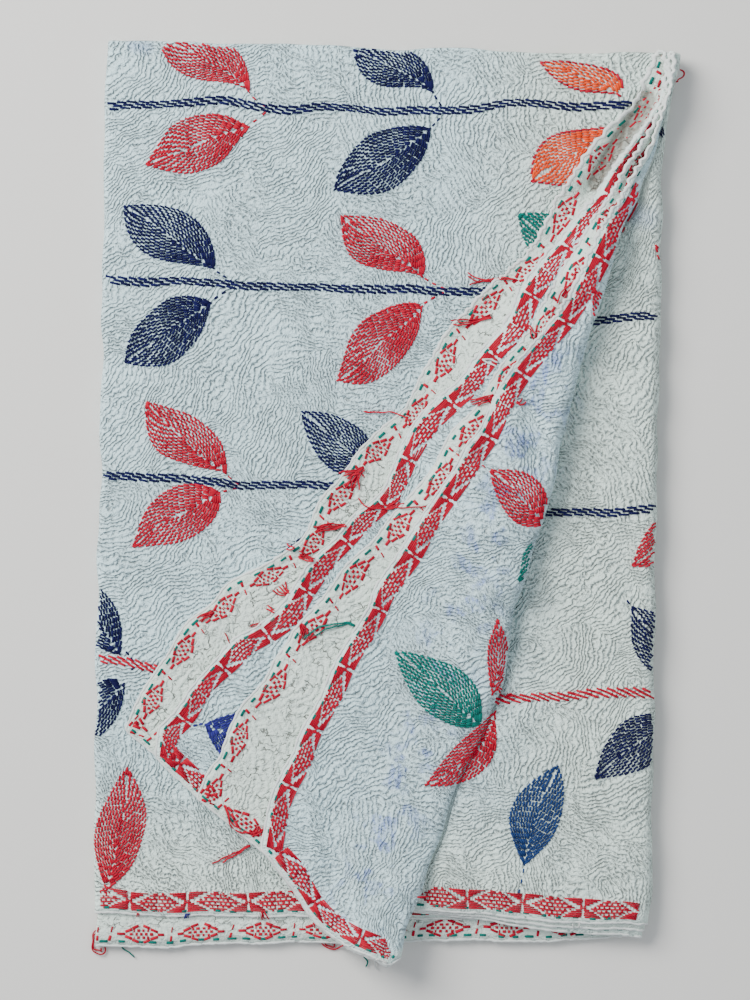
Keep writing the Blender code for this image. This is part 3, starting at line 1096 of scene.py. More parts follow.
@dataclass(frozen=True)
class Border:
    """The darned border: wedges at each crossing, and a honeycomb diamond between two crossings."""

    unit: float = 0.0520
    height: float = 0.0146
    rows: int = 11
    reverse_rows: int = 5
    gap: float = 0.0024
    wedge_end: float = 0.0174
    wedge_root: float = 0.0005
    hem_side_bow: float = 1.8
    inner_bow: float = 0.90
    diamond_half: float = 0.0188
    diamond_height: float = 0.0089
    cell: float = 0.0046
    white_share: float = 0.56
    cells_within: float = 0.88
    bar: Point2 = (0.0032, 0.0012)
    outline_width: float = 0.0060
    dots_inset: float = 0.0072
    edge_distance: float = 0.0106
    outline_lean: float = 0.36
    front_size: StitchSize = StitchSize(width=0.00148, height=0.0010, rings=3, taper=0.0003)
    reverse_size: StitchSize = StitchSize(width=0.0026, height=0.0010, rings=3, taper=0.00012)
    dash_lean: float = 0.0006
    dash_length: float = 0.0052
    dash_starts: Point2 = (-0.0066, 0.0008)
    dash_sizes: tuple[StitchSize, ...] = (StitchSize(0.0025, rings=3), StitchSize(0.0015, rings=3))

    def front(self, along: Array, across: Array, row: Array) -> Array:
        """Where the front of the border is covered with thread.

        A wedge lies between the border's edge and a line that slants out to it from wedge_root
        beside the axis. The diamond is full in every even row, and has cells in the odd ones.

        Args:
            along: place along the unit, 0 at a crossing.
            across: distance from the border's axis, negative towards the hem.
            row: number of the row of thread.

        Returns:
            True where there is thread.
        """
        far, off = np.abs(along), np.abs(across)
        reach = np.clip((far - self.gap / 2) / self.wedge_end, 0.0, 1.0)
        bow = np.where(across < 0, self.hem_side_bow, self.inner_bow)
        inner = self.wedge_root + (self.height / 2 - self.wedge_root) * reach**bow
        wedge = (far > self.gap / 2 * (0.35 + 0.65 * off / (self.height / 2))) & (off > inner)
        wedge &= far < self.wedge_end + self.gap / 2
        middle = self.unit / 2 - far
        inside = middle / self.diamond_half + off / self.diamond_height
        phase = (np.where(along < 0, -middle, middle) / self.cell + 0.25 * (row + 1)) % 1.0
        cells = (np.abs(row) % 2 == 1) & (phase < self.white_share) & (inside < self.cells_within)
        bar = (far < self.bar[0]) & (off < self.bar[1])
        return wedge | ((inside < 1.0) & ~cells) | bar

    def reverse(self, along: Array, across: Array, row: Array) -> Array:
        """Where the reverse is covered: a diamond's outline in dashes, dots in it, and cross dashes.

        Args:
            along: place along the unit, 0 at a crossing.
            across: distance from the border's axis.
            row: number of the row of thread.

        Returns:
            True where there is thread.
        """
        far, off = np.abs(along), np.abs(across)
        middle = self.unit / 2 - far
        edge = self.diamond_half * 1.08 * (1.0 - off / (self.diamond_height * 1.10))
        outline = (middle < edge) & (middle > edge - self.outline_width)
        phase = (np.where(along < 0, -middle, middle) / self.cell + 0.5 * (row % 2) + 0.22) % 1.0
        dots = (middle < edge - self.dots_inset) & (phase < self.white_share)
        return (outline | dots) & (edge > 0.0)

    def marks(self, path: Path, crossings: Sequence[Point2], first: float) -> Array:
        """How far along a hem the crossings lie, from before its start until after its end.

        Args:
            path: the hem.
            crossings: places near the known crossings, with even units between them.
            first: how far along the first crossing lies, where none is known.

        Returns:
            Distances along the hem, a unit apart beyond the known crossings.
        """
        known = np.sort([path.nearest(point) for point in crossings] or [first])
        legs = [known[:1]]
        for start, end in zip(known, known[1:]):
            legs.append(np.linspace(start, end, max(1, round((end - start) / self.unit)) + 1)[1:])
        inner = np.concatenate(legs)
        before = inner[0] - np.arange(int(inner[0] / self.unit) + 2, 0, -1) * self.unit
        after = int((path.length - inner[-1]) / self.unit) + 3
        return np.concatenate([before, inner, inner[-1] + np.arange(1, after) * self.unit])

    def cross_dashes(self, marks: Array) -> tuple[Array, ...]:
        """The two dashes across the reverse at each crossing: thick by the hem, then a thin one.

        Args:
            marks: how far along the hem the crossings lie.

        Returns:
            Along and beside of the first ends, then of the last ends.
        """
        lean = self.dash_lean
        along = np.concatenate([marks - lean, marks + lean])
        near = np.concatenate([np.full(len(marks), start) for start in self.dash_starts])
        near = near + self.edge_distance
        return along, near, along + 2.0 * lean, near + self.dash_length

    def floats(self, path: Path, side: Darning, marks: Array, draw: Draw) -> tuple[Array, ...]:
        """The ends of the border's threads along a hem.

        Args:
            path: the hem; the border lies to the left of its course.
            side: which face of the border shows.
            marks: how far along the path the crossings lie.
            draw: for the unevenness of the hand.

        Returns:
            Along of the first and last ends, then beside of the first and last ends.
        """
        fine = 0.0004
        along = np.arange(-self.unit / 2, self.unit / 2, fine) + fine / 2
        count = self.rows if side is Darning.FRONT else self.reverse_rows
        rows = np.arange(count) - (count - 1) // 2
        across = rows * self.height / count
        covered = getattr(self, side.value)(along[None, :], across[:, None], rows[:, None])
        edges = np.diff(np.pad(covered, ((0, 0), (1, 1))).astype(int), axis=1)
        row, first = np.nonzero(edges == 1)
        last = np.nonzero(edges == -1)[1]
        keep = last - first > 2
        row, first, last = row[keep], first[keep] * fine, last[keep] * fine
        unit = np.arange(len(marks))[:, None]
        places = [(unit + (end - self.unit / 2) / self.unit).ravel() for end in (first, last)]
        begin, finish = (np.interp(place, np.arange(len(marks)), marks) for place in places)
        begin = begin + draw.uniform(-0.35, 0.35, begin.shape) * MM
        finish = finish + draw.uniform(-0.35, 0.35, begin.shape) * MM
        beside = np.tile(across[row] + self.edge_distance, len(marks))
        beside = beside + 0.0005 * np.sin(begin / 0.031 + marks[0] * 40.0)
        middle = (first + last) / 2 - self.unit / 2
        lean = np.sign(across[row]) * np.sign(middle) * self.outline_lean * (last - first) / 2
        leans = (side is Darning.REVERSE) & (last - first > 0.0030)
        lean = np.tile(np.where(leans, lean, 0.0), len(marks))
        inside = (begin > 0.0) & (finish < path.length) & (finish > begin)
        return begin[inside], finish[inside], (beside - lean)[inside], (beside + lean)[inside]


RED, NAVY, TEAL, ORANGE, BLUE, VIOLET, WHITE = Thread
OVER, RIGHT = Cover.OVER, Cover.RIGHT
UPPER = (0.62, 0.42)
LEAVES_ON_PANEL = (
    Leaf((-113, 347), (-189, 392), 21, RED, bow=-5.5, fullest=UPPER),
    Leaf((-113, 319), (-201, 285), 22.5, RED, bow=-2.5),
    Leaf((42, 347), (-26, 383), 20, NAVY, bow=-4.5, fullest=UPPER),
    Leaf((40, 317), (-41.5, 263.5), 24.8, NAVY, bow=1.5),
    Leaf((-145, 198), (-220, 252), 24.5, NAVY, fullest=UPPER),
    Leaf((-145, 168), (-220, 116), 24, NAVY, bow=-2.5, fullest=(0.52, 0.44)),
    Leaf((34, 189), (-36, 242), 24, RED, bow=-1, fullest=UPPER),
    Leaf((36, 166), (-39, 102), 25, RED, fullest=(0.56, 0.47)),
    Leaf((-133, 23), (-201, 83), 22, RED, bow=2.5, fullest=UPPER),
    Leaf((-141, 7), (-214, -38), 22.5, RED, bow=-1, fullest=(0.42, 0.42)),
    Leaf((-9, 22), (-68, 75), 22.5, NAVY, fullest=(0.45, 0.42)),
    Leaf((192.5, 344.3), (137, 374), 14, ORANGE, bow=-3.5, fullest=(0.60, 0.24), outline_thread=RED),
    Leaf((202, 319), (126, 269), 24, ORANGE, bow=-2, fullest=(0.50, 0.60), outline_thread=RED),
    Leaf((190, 190), (116, 243), 24, TEAL),
    Leaf((-222.5, -131), (-268, -62), 17.5, NAVY),
    Leaf((-219.3, -155), (-270, -217), 17.5, NAVY, bow=-4, fullest=(0.50, 0.27)),
    Leaf((-235, -334), (-217, -229), 21.5, RED, bow=-2.5),
)
VINES_ON_PANEL = (
    Vine(((-238, 336), (-150, 339), (-80, 334), (20, 331), (100, 336), (205, 337)), NAVY),
    Vine(((-239, 188), (-180, 187), (-120, 183), (0, 179), (90, 178)), NAVY),
    Vine(((-241, 22), (-180, 18), (-120, 14), (-40, 12)), NAVY),
    Vine(((-244, -133), (-215, -137), (-190, -143)), RED, stitch=0.007, slant=-0.3),
    Vine(((-49, -3), (-62, -26), (-82, -47)), NAVY),
)

LEAVES_ON_TOP = (
    Leaf((140, -21), (91, 25), 20, RED, bow=-1.5, cover=OVER),
    Leaf((84, -188), (11, -129), 22.5, TEAL, fullest=(0.43, 0.40)),
    Leaf((92.5, -164.5), (97, -100.5), 10, RED, bow=-1),
    Leaf((98, -178), (36, -242), 16, RED, bow=10.5, fullest=(0.54, 0.50)),
    Leaf((206, 132), (177, 177), 13, RED, cover=OVER),
    Leaf((163, -20), (114, -67), 15, TEAL, cover=OVER),
    Leaf((288, -6), (212.5, -55), 22, RED, cover=RIGHT),
    Leaf((273, -161), (210, -89), 22.5, NAVY, bow=2, cover=RIGHT),
    Leaf((260, -184), (180, -233), 22.2, NAVY, bow=-3.7, cover=RIGHT),
    Leaf((119, -309), (146, -226), 21.5, BLUE, bow=3, cover=RIGHT),
    Leaf((262, 195), (232, 217), 12, RED, cover=RIGHT),
)
VINES_ON_TOP = (
    Vine(((170, 149), (205, 154), (238, 159)), NAVY, RIGHT),
    Vine(((120, -8), (180, -12), (238, -6)), NAVY, RIGHT),
    Vine(((96, -169), (150, -167), (190, -163), (238, -163)), RED, stitch=0.0074, slant=-0.42),
    Vine(((226.5, 313.5), (238.5, 310.5)), NAVY, RIGHT, stitch=0.0045, slant=-0.4),
)

LEAVES_ON_SECOND = (Leaf((-153, -191), (-72, -222), 24, VIOLET),)


@dataclass(frozen=True)
class Stem:
    """A dotted stem: a few single stitches between two points in millimetres."""

    start: Point2
    end: Point2
    thread: Thread
    stitch: float = 0.0042
    period: float = 0.0085


STEMS_ON_PANEL = (
    Stem((-113, 345), (-98, 335), RED),
    Stem((-113, 321), (-98, 334), RED),
    Stem((42, 346), (50, 336), NAVY),
    Stem((40.5, 317.5), (49.5, 327.5), NAVY),
    Stem((-144, 196), (-126, 184), NAVY),
    Stem((-144, 170), (-126, 183), NAVY),
    Stem((34, 189), (55, 180), RED),
    Stem((36, 167), (54, 179), RED),
    Stem((-133, 22), (-121, 14), RED),
    Stem((-141, 7), (-122, 13), RED),
    Stem((-219, -127), (-210, -138), NAVY),
    Stem((-215, -145), (-208, -140), NAVY),
    Stem((-235, -334), (-236, -340), RED),
)
STEMS_ON_TOP = (
    Stem((119, -309), (116, -336), BLUE),
    Stem((209, -88), (205, -83), NAVY),
    Stem((87, 27), (83, 31), RED),
)
STEMS_ON_SECOND = (Stem((-164, -192), (-154, -190), VIOLET, period=0.005),)


@dataclass(frozen=True)
class LooseEnd:
    """Loose thread: one strand, or a bundle that fans out. Points and spread are in millimetres."""

    points: tuple[Point2, ...]
    strands: int = 1
    spread: float = 0.0
    thread: Thread = Thread.RED
    arch: float = 0.0012
    clearance: float = 0.0006
    radius: float = 0.00070
    beside: float = 0.0008


LOOSE_ENDS = (
    LooseEnd(((235, 353), (240, 355), (246, 360), (248, 363.5), (245.5, 366), (241, 367))),
    LooseEnd(((235, 353), (240, 355), (244, 358))),
    LooseEnd(((114, 188), (94, 187), (78, 189), (69, 193)), 2, 1),
    LooseEnd(((100, 187), (84, 188), (71, 183))),
    LooseEnd(((163, 194), (161, 186), (153, 178), (149, 166)), 2, 2.2),
    LooseEnd(((92, 156), (76, 152), (58, 151)), 3, 1.6),
    LooseEnd(((119, 148), (123, 146), (124, 140), (128, 137)), 2, 2),
    LooseEnd(((83, 120), (91, 117), (99, 113)), 2, 2, WHITE),
    LooseEnd(((94, 89), (84, 85), (70, 83)), 4, 2.2),
    LooseEnd(((23, 61), (25, 65), (18, 70), (6, 75), (-17, 76))),
    LooseEnd(((-16, 26), (-26, 23), (-40, 20)), 4, 1.6),
    LooseEnd(((-22, 24), (-26, 17), (-28, 8)), 4, 5),
    LooseEnd(((-22, 4), (-17, -1), (-10, -6), (4, -7), (22, -5), (38, -4))),
    LooseEnd(((2, -7), (9, -5), (19, 1)), 3, 2),
    LooseEnd(((112, 83), (117, 80), (121, 85)), 2, 2),
    LooseEnd(((-31, -21), (-48, -21), (-61, -24)), 4, 1.6),
    LooseEnd(((-57, -52), (-64, -49), (-73, -46)), 4, 2.2),
    LooseEnd(((-74, -40), (-79, -41), (-84, -38)), 2, 2),
    LooseEnd(((-79, -82), (-86, -79), (-89, -71)), 5, 5),
    LooseEnd(((-90, -97), (-94, -95), (-98, -91)), 2, 1),
    LooseEnd(((-101, -104), (-106, -105), (-112, -108)), 2, 1),
    LooseEnd(((-129, -124), (-131, -119), (-134, -113))),
    LooseEnd(((-144, -93), (-151, -98), (-158, -103)), 4, 1.6),
    LooseEnd(((-71, -104), (-68, -109), (-66, -117)), 4, 2.2),
    LooseEnd(((-66, -121), (-62, -116), (-57, -113)), 2, 1),
    LooseEnd(
        ((-24, -106), (-32, -101), (-42, -104), (-54, -109), (-61, -113), (-67, -119)),
        2, 2, TEAL,
    ),
    LooseEnd(((-134, -258), (-131, -263), (-129, -270), (-127, -276), (-120, -281), (-110, -281)), 2, 1),
    LooseEnd(((-113, -285), (-107, -281), (-103, -274)), 4, 2.2),
    LooseEnd(((-113, -293), (-125, -298), (-137, -305), (-146, -309)), 2, 1),
    LooseEnd(((-238, -362), (-247, -370), (-246, -385), (-238, -388), (-237, -376)), 2, 1),
    LooseEnd(((-53, -368), (-50, -381), (-41, -383), (-36, -372)), 2, 2),
    LooseEnd(((-228, -370), (-222, -383), (-211, -391)), thread=TEAL),
    LooseEnd(((-18, -385), (-13, -391), (-14, -398)), thread=TEAL),
    LooseEnd(((-166, -350), (-167, -364), (-165, -379)), 4, 2.2, VIOLET),
    LooseEnd(((-209, -350), (-210, -363), (-206, -376)), 3, 1.6),
    LooseEnd(((-211, -351), (-207, -362), (-204, -377)), 2, 1.6, WHITE),
    LooseEnd(((-104, -348), (-100, -358), (-101, -371)), 3, 6),
    LooseEnd(((-106, -349), (-105, -360), (-97, -370)), 3, 6, WHITE),
    LooseEnd(((-9, -385), (-3, -391), (1, -396)), 4, 7, WHITE),
    LooseEnd(((160, -357), (163, -363), (167, -362), (166, -356)), thread=WHITE),
    LooseEnd(((94, -160), (98, -159), (101, -163)), 2, 1),
    LooseEnd(((105, -164), (107, -166), (110, -164)), 2, 1),
)


# Finishes


class Socket:
    """A number in a shader: Python's arithmetic on it adds the nodes that work it out."""

    kind = "ShaderNodeMath"

    def __init__(self, shader: "Shader", output: Any) -> None:
        """Wraps an output socket of a node."""
        self.shader = shader
        self.output = output

    def maths(self, operation: str, *others: Any) -> "Socket":
        """The result of a Math node, or a Vector Math node, on this socket and the others."""
        values = dict(enumerate((self, *others)))
        node = self.shader.node(self.kind, {"operation": operation}, values)
        return type(self)(self.shader, node.outputs[0])

    @staticmethod
    def operator(operation: str) -> Callable[["Socket", Any], "Socket"]:
        """A method of two operands that adds this Math node."""
        return lambda first, second: first.maths(operation, second)

    __add__ = __radd__ = operator("ADD")
    __sub__ = operator("SUBTRACT")
    __mul__ = __rmul__ = operator("MULTIPLY")
    __truediv__ = operator("DIVIDE")
    __pow__ = operator("POWER")
    __mod__ = operator("FLOORED_MODULO")

    def __rsub__(self, other: Any) -> "Socket":
        """Reflected difference."""
        return self * -1.0 + other

    def __rtruediv__(self, other: Any) -> "Socket":
        """Reflected quotient."""
        return self**-1.0 * other

    def __abs__(self) -> "Socket":
        """Absolute value."""
        return self.maths("ABSOLUTE")

    def ramp(self, low: float, high: float) -> "Socket":
        """0 up to low, 1 from high on, and smooth between them; low may be the larger one."""
        if low > high:
            return 1.0 - self.ramp(high, low)
        node = self.shader.node(
            "ShaderNodeMapRange",
            {"interpolation_type": "SMOOTHSTEP"},
            {"Value": self, "From Min": low, "From Max": high},
        )
        return Socket(self.shader, node.outputs[0])


class Vector(Socket):
    """Three numbers in a shader, such as a place: arithmetic on it adds Vector Math nodes."""

    kind = "ShaderNodeVectorMath"


class Shader:
    """A material whose nodes are written as expressions."""

    def __init__(self, name: str) -> None:
        """Starts a material with only a Principled shader and its output."""
        self.material = bpy.data.materials.new(name)
        self.material.use_nodes = True
        self.tree = self.material.node_tree
        self.tree.nodes.clear()
        self.surface = self.node("ShaderNodeBsdfPrincipled", {}, {})
        output = self.node("ShaderNodeOutputMaterial", {}, {})
        self.tree.links.new(self.surface.outputs[0], output.inputs["Surface"])

    def node(self, kind: str, settings: dict[str, Any], values: dict[Any, Any]) -> bpy.types.Node:
        """Adds a node: its settings first, then its sockets' values or links."""
        made = self.tree.nodes.new(kind)
        for name, value in settings.items():
            setattr(made, name, value)
        for key, value in values.items():
            if isinstance(value, Socket):
                self.tree.links.new(value.output, made.inputs[key])
            else:
                made.inputs[key].default_value = value
        return made

    def out(self, made: Any, name: Any = 0, kind: type[Socket] = Socket) -> Any:
        """An output of a node, for use in expressions, as a Socket or a Vector."""
        return kind(self, made.outputs[name])

    def attribute(self, name: str) -> Socket:
        """The number that each point of the mesh keeps under this name."""
        return self.out(self.node("ShaderNodeAttribute", {"attribute_name": name}, {}), "Fac")

    def place(self) -> Vector:
        """Where the surface is, in the object's coordinates."""
        return self.out(self.node("ShaderNodeTexCoord", {}, {}), "Object", Vector)

    def bump(self, height: Socket, depth: float, strength: float = 1.0) -> Socket:
        """Normals turned by a height, of which 1 stands this deep."""
        values = {"Strength": strength, "Distance": depth, "Height": height}
        return self.out(self.node("ShaderNodeBump", {}, values))

    def mix(self, share: Any, first: Any, second: Any) -> Socket:
        """A colour between two colours."""
        made = self.node("ShaderNodeMix", {"data_type": "RGBA"}, {0: share, 6: first, 7: second})
        return self.out(made, 2)

    def parts(self, vector: Vector) -> tuple[Socket, Socket, Socket]:
        """The three numbers of a vector."""
        made = self.node("ShaderNodeSeparateXYZ", {}, {0: vector})
        return self.out(made, 0), self.out(made, 1), self.out(made, 2)

    def noise(self, place: Vector, length: float, detail: float = 2.0, plane: bool = True) -> Socket:
        """Smooth noise between 0 and 1 whose humps are about this long."""
        settings = {"noise_dimensions": "2D" if plane else "3D"}
        values = {"Vector": place, "Scale": 1.0 / length, "Detail": detail}
        return self.out(self.node("ShaderNodeTexNoise", settings, values), 0)

    def finish(self, **sockets: Any) -> Material:
        """Sets or links the Principled shader's sockets by name, with _ for a space.

        Args:
            sockets: values or Sockets.

        Returns:
            The material.
        """
        for name, value in sockets.items():
            target = self.surface.inputs[name.replace("_", " ")]
            if isinstance(value, Socket):
                self.tree.links.new(value.output, target)
            else:
                target.default_value = value
        return self.material


def from_screen(red: float, green: float, blue: float) -> Colour:
    """A colour given as it looks on a screen, 0 to 255, as linear shares."""
    shares = [c / 255.0 for c in (red, green, blue)]
    linear = [s / 12.92 if s < 0.04045 else ((s + 0.055) / 1.055) ** 2.4 for s in shares]
    return linear[0], linear[1], linear[2], 1.0


MIDDLE = (0.5, 0.5, 0.5)
Stroke = tuple[Point2, Point2, float]


@dataclass(frozen=True)
class ClothFinish:
    """Quilted cotton: rows of running stitch in patches, with puckers between them."""

    name: str
    base: Colour
    base_right: Colour
    shaded: Colour
    stain: Colour
    stain_amount: float
    row_pitch: float = 0.0039
    stitch_period: float = 0.0042
    patch: float = 0.060
    patch_shift: Point3 = (0.26, 0.26, 0.0)
    long_bend: Point2 = (0.060, 0.015)
    middle_bend: Point2 = (0.017, 0.0042)
    short_bend: Point2 = (0.0060, 0.0024)
    wild_bend: Point2 = (0.0060, 0.0046)
    groove_depth: float = 1.0
    crackle: float = 0.0085
    crackle_depth: float = 0.6
    crackle_flat: float = 0.12
    puff: float = 0.0046
    puff_height: float = 0.60
    grain: float = 0.0011
    bump_depth: float = 0.0018
    # Painted glints: a near-white that small specks of the cloth are lightened toward.
    painted_glint: Colour = (0.93, 0.95, 0.94, 1.0)
    # Painted shade: a brown-grey that darkens the hollow at the tip, standing in for its shadow.
    painted_hollow_shade: Colour = from_screen(118, 107, 98)
    flap_stain: Stroke = ((0.140, 0.110), (-0.020, -0.330), 0.048)
    # Where the painted shade of the hollow lies: a line, and how far the shade reaches from it.
    hollow_line: Stroke = ((0.181, 0.272), (0.221, 0.342), 0.0130)
    spots: tuple[tuple[float, Stroke], ...] = (
        (0.4, ((0.205, 0.246), (0.222, 0.240), 0.016)),
        (0.5, ((-0.214, 0.388), (-0.204, 0.386), 0.010)),
    )

    def build(self) -> Material:
        """The material: one height for the bump, and a colour with painted shade in the low places.

        The hem and the border are flatter than the rest, and creases are deeper in slack cloth.
        """
        shader = Shader(self.name)
        flat = shader.out(shader.node("ShaderNodeUVMap", {"uv_map": "flat"}, {}), 0, Vector)
        edge, slack = shader.attribute("edge"), shader.attribute("slack")
        puff, grain = shader.noise(flat, self.puff), shader.noise(flat, self.grain)
        flatter = edge.ramp(0.004, 0.024) * 0.8 + 0.2
        roll, sunk, hole = self.rows(shader, flat)
        crease = self.creases(shader, flat) * flatter
        crease = crease * (slack * (1.0 - self.crackle_flat) + self.crackle_flat) * self.crackle_depth
        rows = (roll * 0.75 - sunk * 0.85 - hole * 0.40) * flatter * self.groove_depth
        height = puff * self.puff_height + grain * 0.26 + rows - crease
        # Painted shade: grooves, needle holes and crackle lines are darkened as if in shadow; the grain
        # term is the cloth's own uneven tone.
        low = (sunk * 0.23 + hole * 0.32) * flatter * self.groove_depth
        low = low + crease * 0.80 + (0.60 - grain) * 0.60
        return shader.finish(
            Base_Color=self.coloured(shader, low, edge, slack, puff, grain),
            Roughness=0.92,
            Specular_IOR_Level=0.12,
            Sheen_Weight=0.10,
            Sheen_Roughness=0.6,
            Normal=shader.bump(height, self.bump_depth),
        )

    def rows(self, shader: Shader, flat: Vector) -> tuple[Socket, Socket, Socket]:
        """Rows of running stitch, as arcs round the centre of each patch of the cloth.

        The flat coordinates are bent a little by noise. The distance from the centre in pitches
        gives the row, and the angle round it gives the place on the row.

        Args:
            shader: the material.
            flat: the flat cloth's coordinates.

        Returns:
            How far the cloth stands up between rows, how far it is sunk along them, and the holes.
        """
        long = self.bent(shader, flat, *self.long_bend)
        curved = flat + (long + self.bent(shader, flat, *self.middle_bend))
        wavy = curved + self.bent(shader, flat, *self.short_bend)
        values = {"Vector": curved, "Scale": 1.0 / self.patch}
        cells = shader.node("ShaderNodeTexVoronoi", {"voronoi_dimensions": "2D"}, values)
        chance = shader.out(cells, "Color", Vector)
        centre = shader.out(cells, "Position", Vector) + (chance - MIDDLE) * self.patch_shift
        x, y, _ = shader.parts(wavy - centre)
        pitch = (shader.parts(chance)[2] - 0.5) * (0.34 * self.row_pitch) + self.row_pitch
        across = (x * x + y * y).maths("SQRT") / pitch + 0.5
        row = across.maths("FLOOR")
        along = y.maths("ARCTAN2", x) * row * pitch / self.stitch_period + row * 0.5
        from_row = abs(across % 1.0 - 0.5) * 2.0
        swell = from_row * from_row * (3.0 - from_row * 2.0)
        uneven = shader.noise(flat, 0.0075, 2.0).ramp(0.30, 0.58) * 0.75 + 0.25
        uneven = uneven * (shader.noise(flat, 0.030, 1.0).ramp(0.30, 0.62) * 0.55 + 0.55)
        on_row = abs(along % 1.0 - 0.5) * 2.0
        sunk = (1.0 - swell) ** 2.0 * uneven * (on_row.ramp(0.10, 0.70) * 0.80 + 0.20)
        hole = on_row.ramp(0.72, 0.96) * from_row.ramp(0.34, 0.0)
        return swell * (uneven * 0.5 + 0.5), sunk, hole

    def creases(self, shader: Shader, flat: Vector) -> Socket:
        """Crackle: the edges of small wriggling cells, broken off here and there by noise."""
        wild = (flat + self.bent(shader, flat, *self.wild_bend)) * (0.72, 1.25, 1.0)
        settings = {"voronoi_dimensions": "2D", "feature": "DISTANCE_TO_EDGE"}
        values = {"Vector": wild, "Scale": 1.0 / self.crackle}
        torn = shader.node("ShaderNodeTexVoronoi", settings, values)
        broken = shader.noise(flat, 0.011, 1.0).ramp(0.42, 0.60)
        return shader.out(torn, "Distance").ramp(0.060, 0.0) * broken

    def coloured(
        self, shader: Shader, low: Socket, edge: Socket, slack: Socket, puff: Socket, grain: Socket
    ) -> Socket:
        """The colour: painted shade where the cloth is low, painted glints, streaky stains, and painted
        shade in the hollow at the tip.

        Args:
            shader: the material.
            low: how much painted shade each place gets, in grooves, needle holes and crackle lines, with
                some of the grain's own tone.
            edge: distance from the hem.
            slack: 1 where the cloth is turned back.
            puff: noise as long as a puff.
            grain: noise as long as a thread.

        Returns:
            The colour.
        """
        place = shader.place()
        x, y, z = shader.parts(place)
        patchy = shader.noise(place, 0.020, 3.0, plane=False)
        streaks = shader.noise(place * (1.0, 0.35, 1.0), 0.0040, 2.0)
        along_flap = self.near_line(x, y, *self.flap_stain)
        stained = along_flap * z.ramp(0.016, 0.024) * patchy.ramp(0.50, 0.60) * self.stain_amount
        stained = stained * (streaks.ramp(0.40, 0.60) * 0.60 + 0.40)
        for amount, line in self.spots:
            stained = stained + self.near_line(x, y, *line) * amount
        to_right = x.ramp(0.040, 0.170).maths("MAXIMUM", y.ramp(-0.200, -0.330)) * (1.0 - slack)
        washed = to_right.maths("MAXIMUM", edge.ramp(0.014, 0.004) * 0.8)
        base = shader.mix(washed, self.base, self.base_right)
        # Painted glints: where the grain noise peaks, the colour is lightened toward the glint colour.
        base = shader.mix(grain.ramp(0.62, 0.74) * 0.35, base, self.painted_glint)
        # Painted shade: the low places are mixed toward the shaded colour.
        colour = shader.mix(low.maths("MAXIMUM", 0.0), base, self.shaded)
        tone = shader.noise(place, 0.090, 2.0, plane=False).ramp(0.35, 0.70) * 0.09
        colour = shader.mix(tone, colour, self.shaded)
        colour = shader.mix(stained * (grain.ramp(0.30, 0.60) * 0.6 + 0.4), colour, self.stain)
        # Painted shade: the hollow between the first hem and the raised second hem is darkened toward
        # brown-grey, as if in shadow.
        hollow = self.near_line(x, y, *self.hollow_line).ramp(0.0, 0.45)
        hollow = hollow * z.ramp(0.0180, 0.0085) * (puff.ramp(0.30, 0.62) * -0.25 + 0.92)
        return shader.mix(hollow, colour, self.painted_hollow_shade)

    @staticmethod
    def bent(shader: Shader, flat: Vector, length: float, reach: float) -> Vector:
        """A wandering vector up to half this reach each way, whose humps are about this long."""
        values = {"Vector": flat, "Scale": 1.0 / length}
        made = shader.node("ShaderNodeTexNoise", {"noise_dimensions": "2D"}, values)
        return (shader.out(made, "Color", Vector) - MIDDLE) * (2.0 * reach, 2.0 * reach, 0.0)

    @staticmethod
    def near_line(x: Socket, y: Socket, start: Point2, end: Point2, reach: float) -> Socket:
        """1 on a line between two points, fading to 0 at this distance from it."""
        dx, dy = end[0] - start[0], end[1] - start[1]
        square = dx * dx + dy * dy
        share = ((x - start[0]) * dx + (y - start[1]) * dy) / square
        share = share.maths("MINIMUM", 1.0).maths("MAXIMUM", 0.0)
        off_x, off_y = x - start[0] - share * dx, y - start[1] - share * dy
        return (off_x * off_x + off_y * off_y).maths("SQRT").ramp(reach, 0.0)


FRONT_FINISH = ClothFinish(
    name="quilted cotton, front",
    base=from_screen(216, 247, 254),
    base_right=from_screen(235, 254, 245),
    shaded=from_screen(120, 122, 114),
    stain=from_screen(134, 158, 214),
    stain_amount=1.0,
    crackle_depth=0.35,
)
REVERSE_FINISH = ClothFinish(
    name="quilted cotton, reverse",
    base=from_screen(230, 246, 236),
    base_right=from_screen(230, 246, 236),
    shaded=from_screen(132, 134, 126),
    stain=from_screen(200, 205, 215),
    stain_amount=0.0,
    row_pitch=0.0062,
    groove_depth=0.40,
    crackle=0.0098,
    crackle_depth=1.05,
    crackle_flat=0.9,
    puff_height=0.85,
    bump_depth=0.0020,
)


@dataclass(frozen=True)
class ThreadFinish:
    """Cotton thread: dull, with a little variation from stitch to stitch."""

    name: str
    light: Colour
    dark: Colour
    roughness: float = 0.78

    def build(self) -> Material:
        """The material: each stitch's own shade between dark and light, with fine twist marks."""
        shader = Shader(self.name)
        strands = shader.noise(shader.place(), 0.0006, 1.0, plane=False)
        shade = shader.attribute("shade") * 0.7 + strands * 0.3
        return shader.finish(
            Base_Color=shader.mix(shade, self.dark, self.light),
            Roughness=self.roughness,
            Specular_IOR_Level=0.12,
            Sheen_Weight=0.03,
            Normal=shader.bump(strands, 0.0003, 0.6),
        )


THREAD_FINISHES = {
    RED: ThreadFinish("red thread", from_screen(199, 24, 55), from_screen(156, 12, 37)),
    NAVY: ThreadFinish("navy thread", from_screen(21, 23, 80), from_screen(10, 11, 50)),
    TEAL: ThreadFinish("teal green thread", from_screen(7, 120, 109), from_screen(4, 91, 83)),
    ORANGE: ThreadFinish("orange thread", from_screen(248, 90, 38), from_screen(219, 61, 24)),
    BLUE: ThreadFinish("blue thread", from_screen(38, 67, 121), from_screen(20, 43, 89)),
    VIOLET: ThreadFinish("violet thread", from_screen(54, 53, 138), from_screen(31, 31, 99)),
    WHITE: ThreadFinish("white thread", from_screen(226, 228, 224), from_screen(196, 200, 198)),
}
HEM_FINISH = ThreadFinish("rolled white hem", from_screen(228, 233, 230), from_screen(214, 219, 217), 0.9)


# The quilt


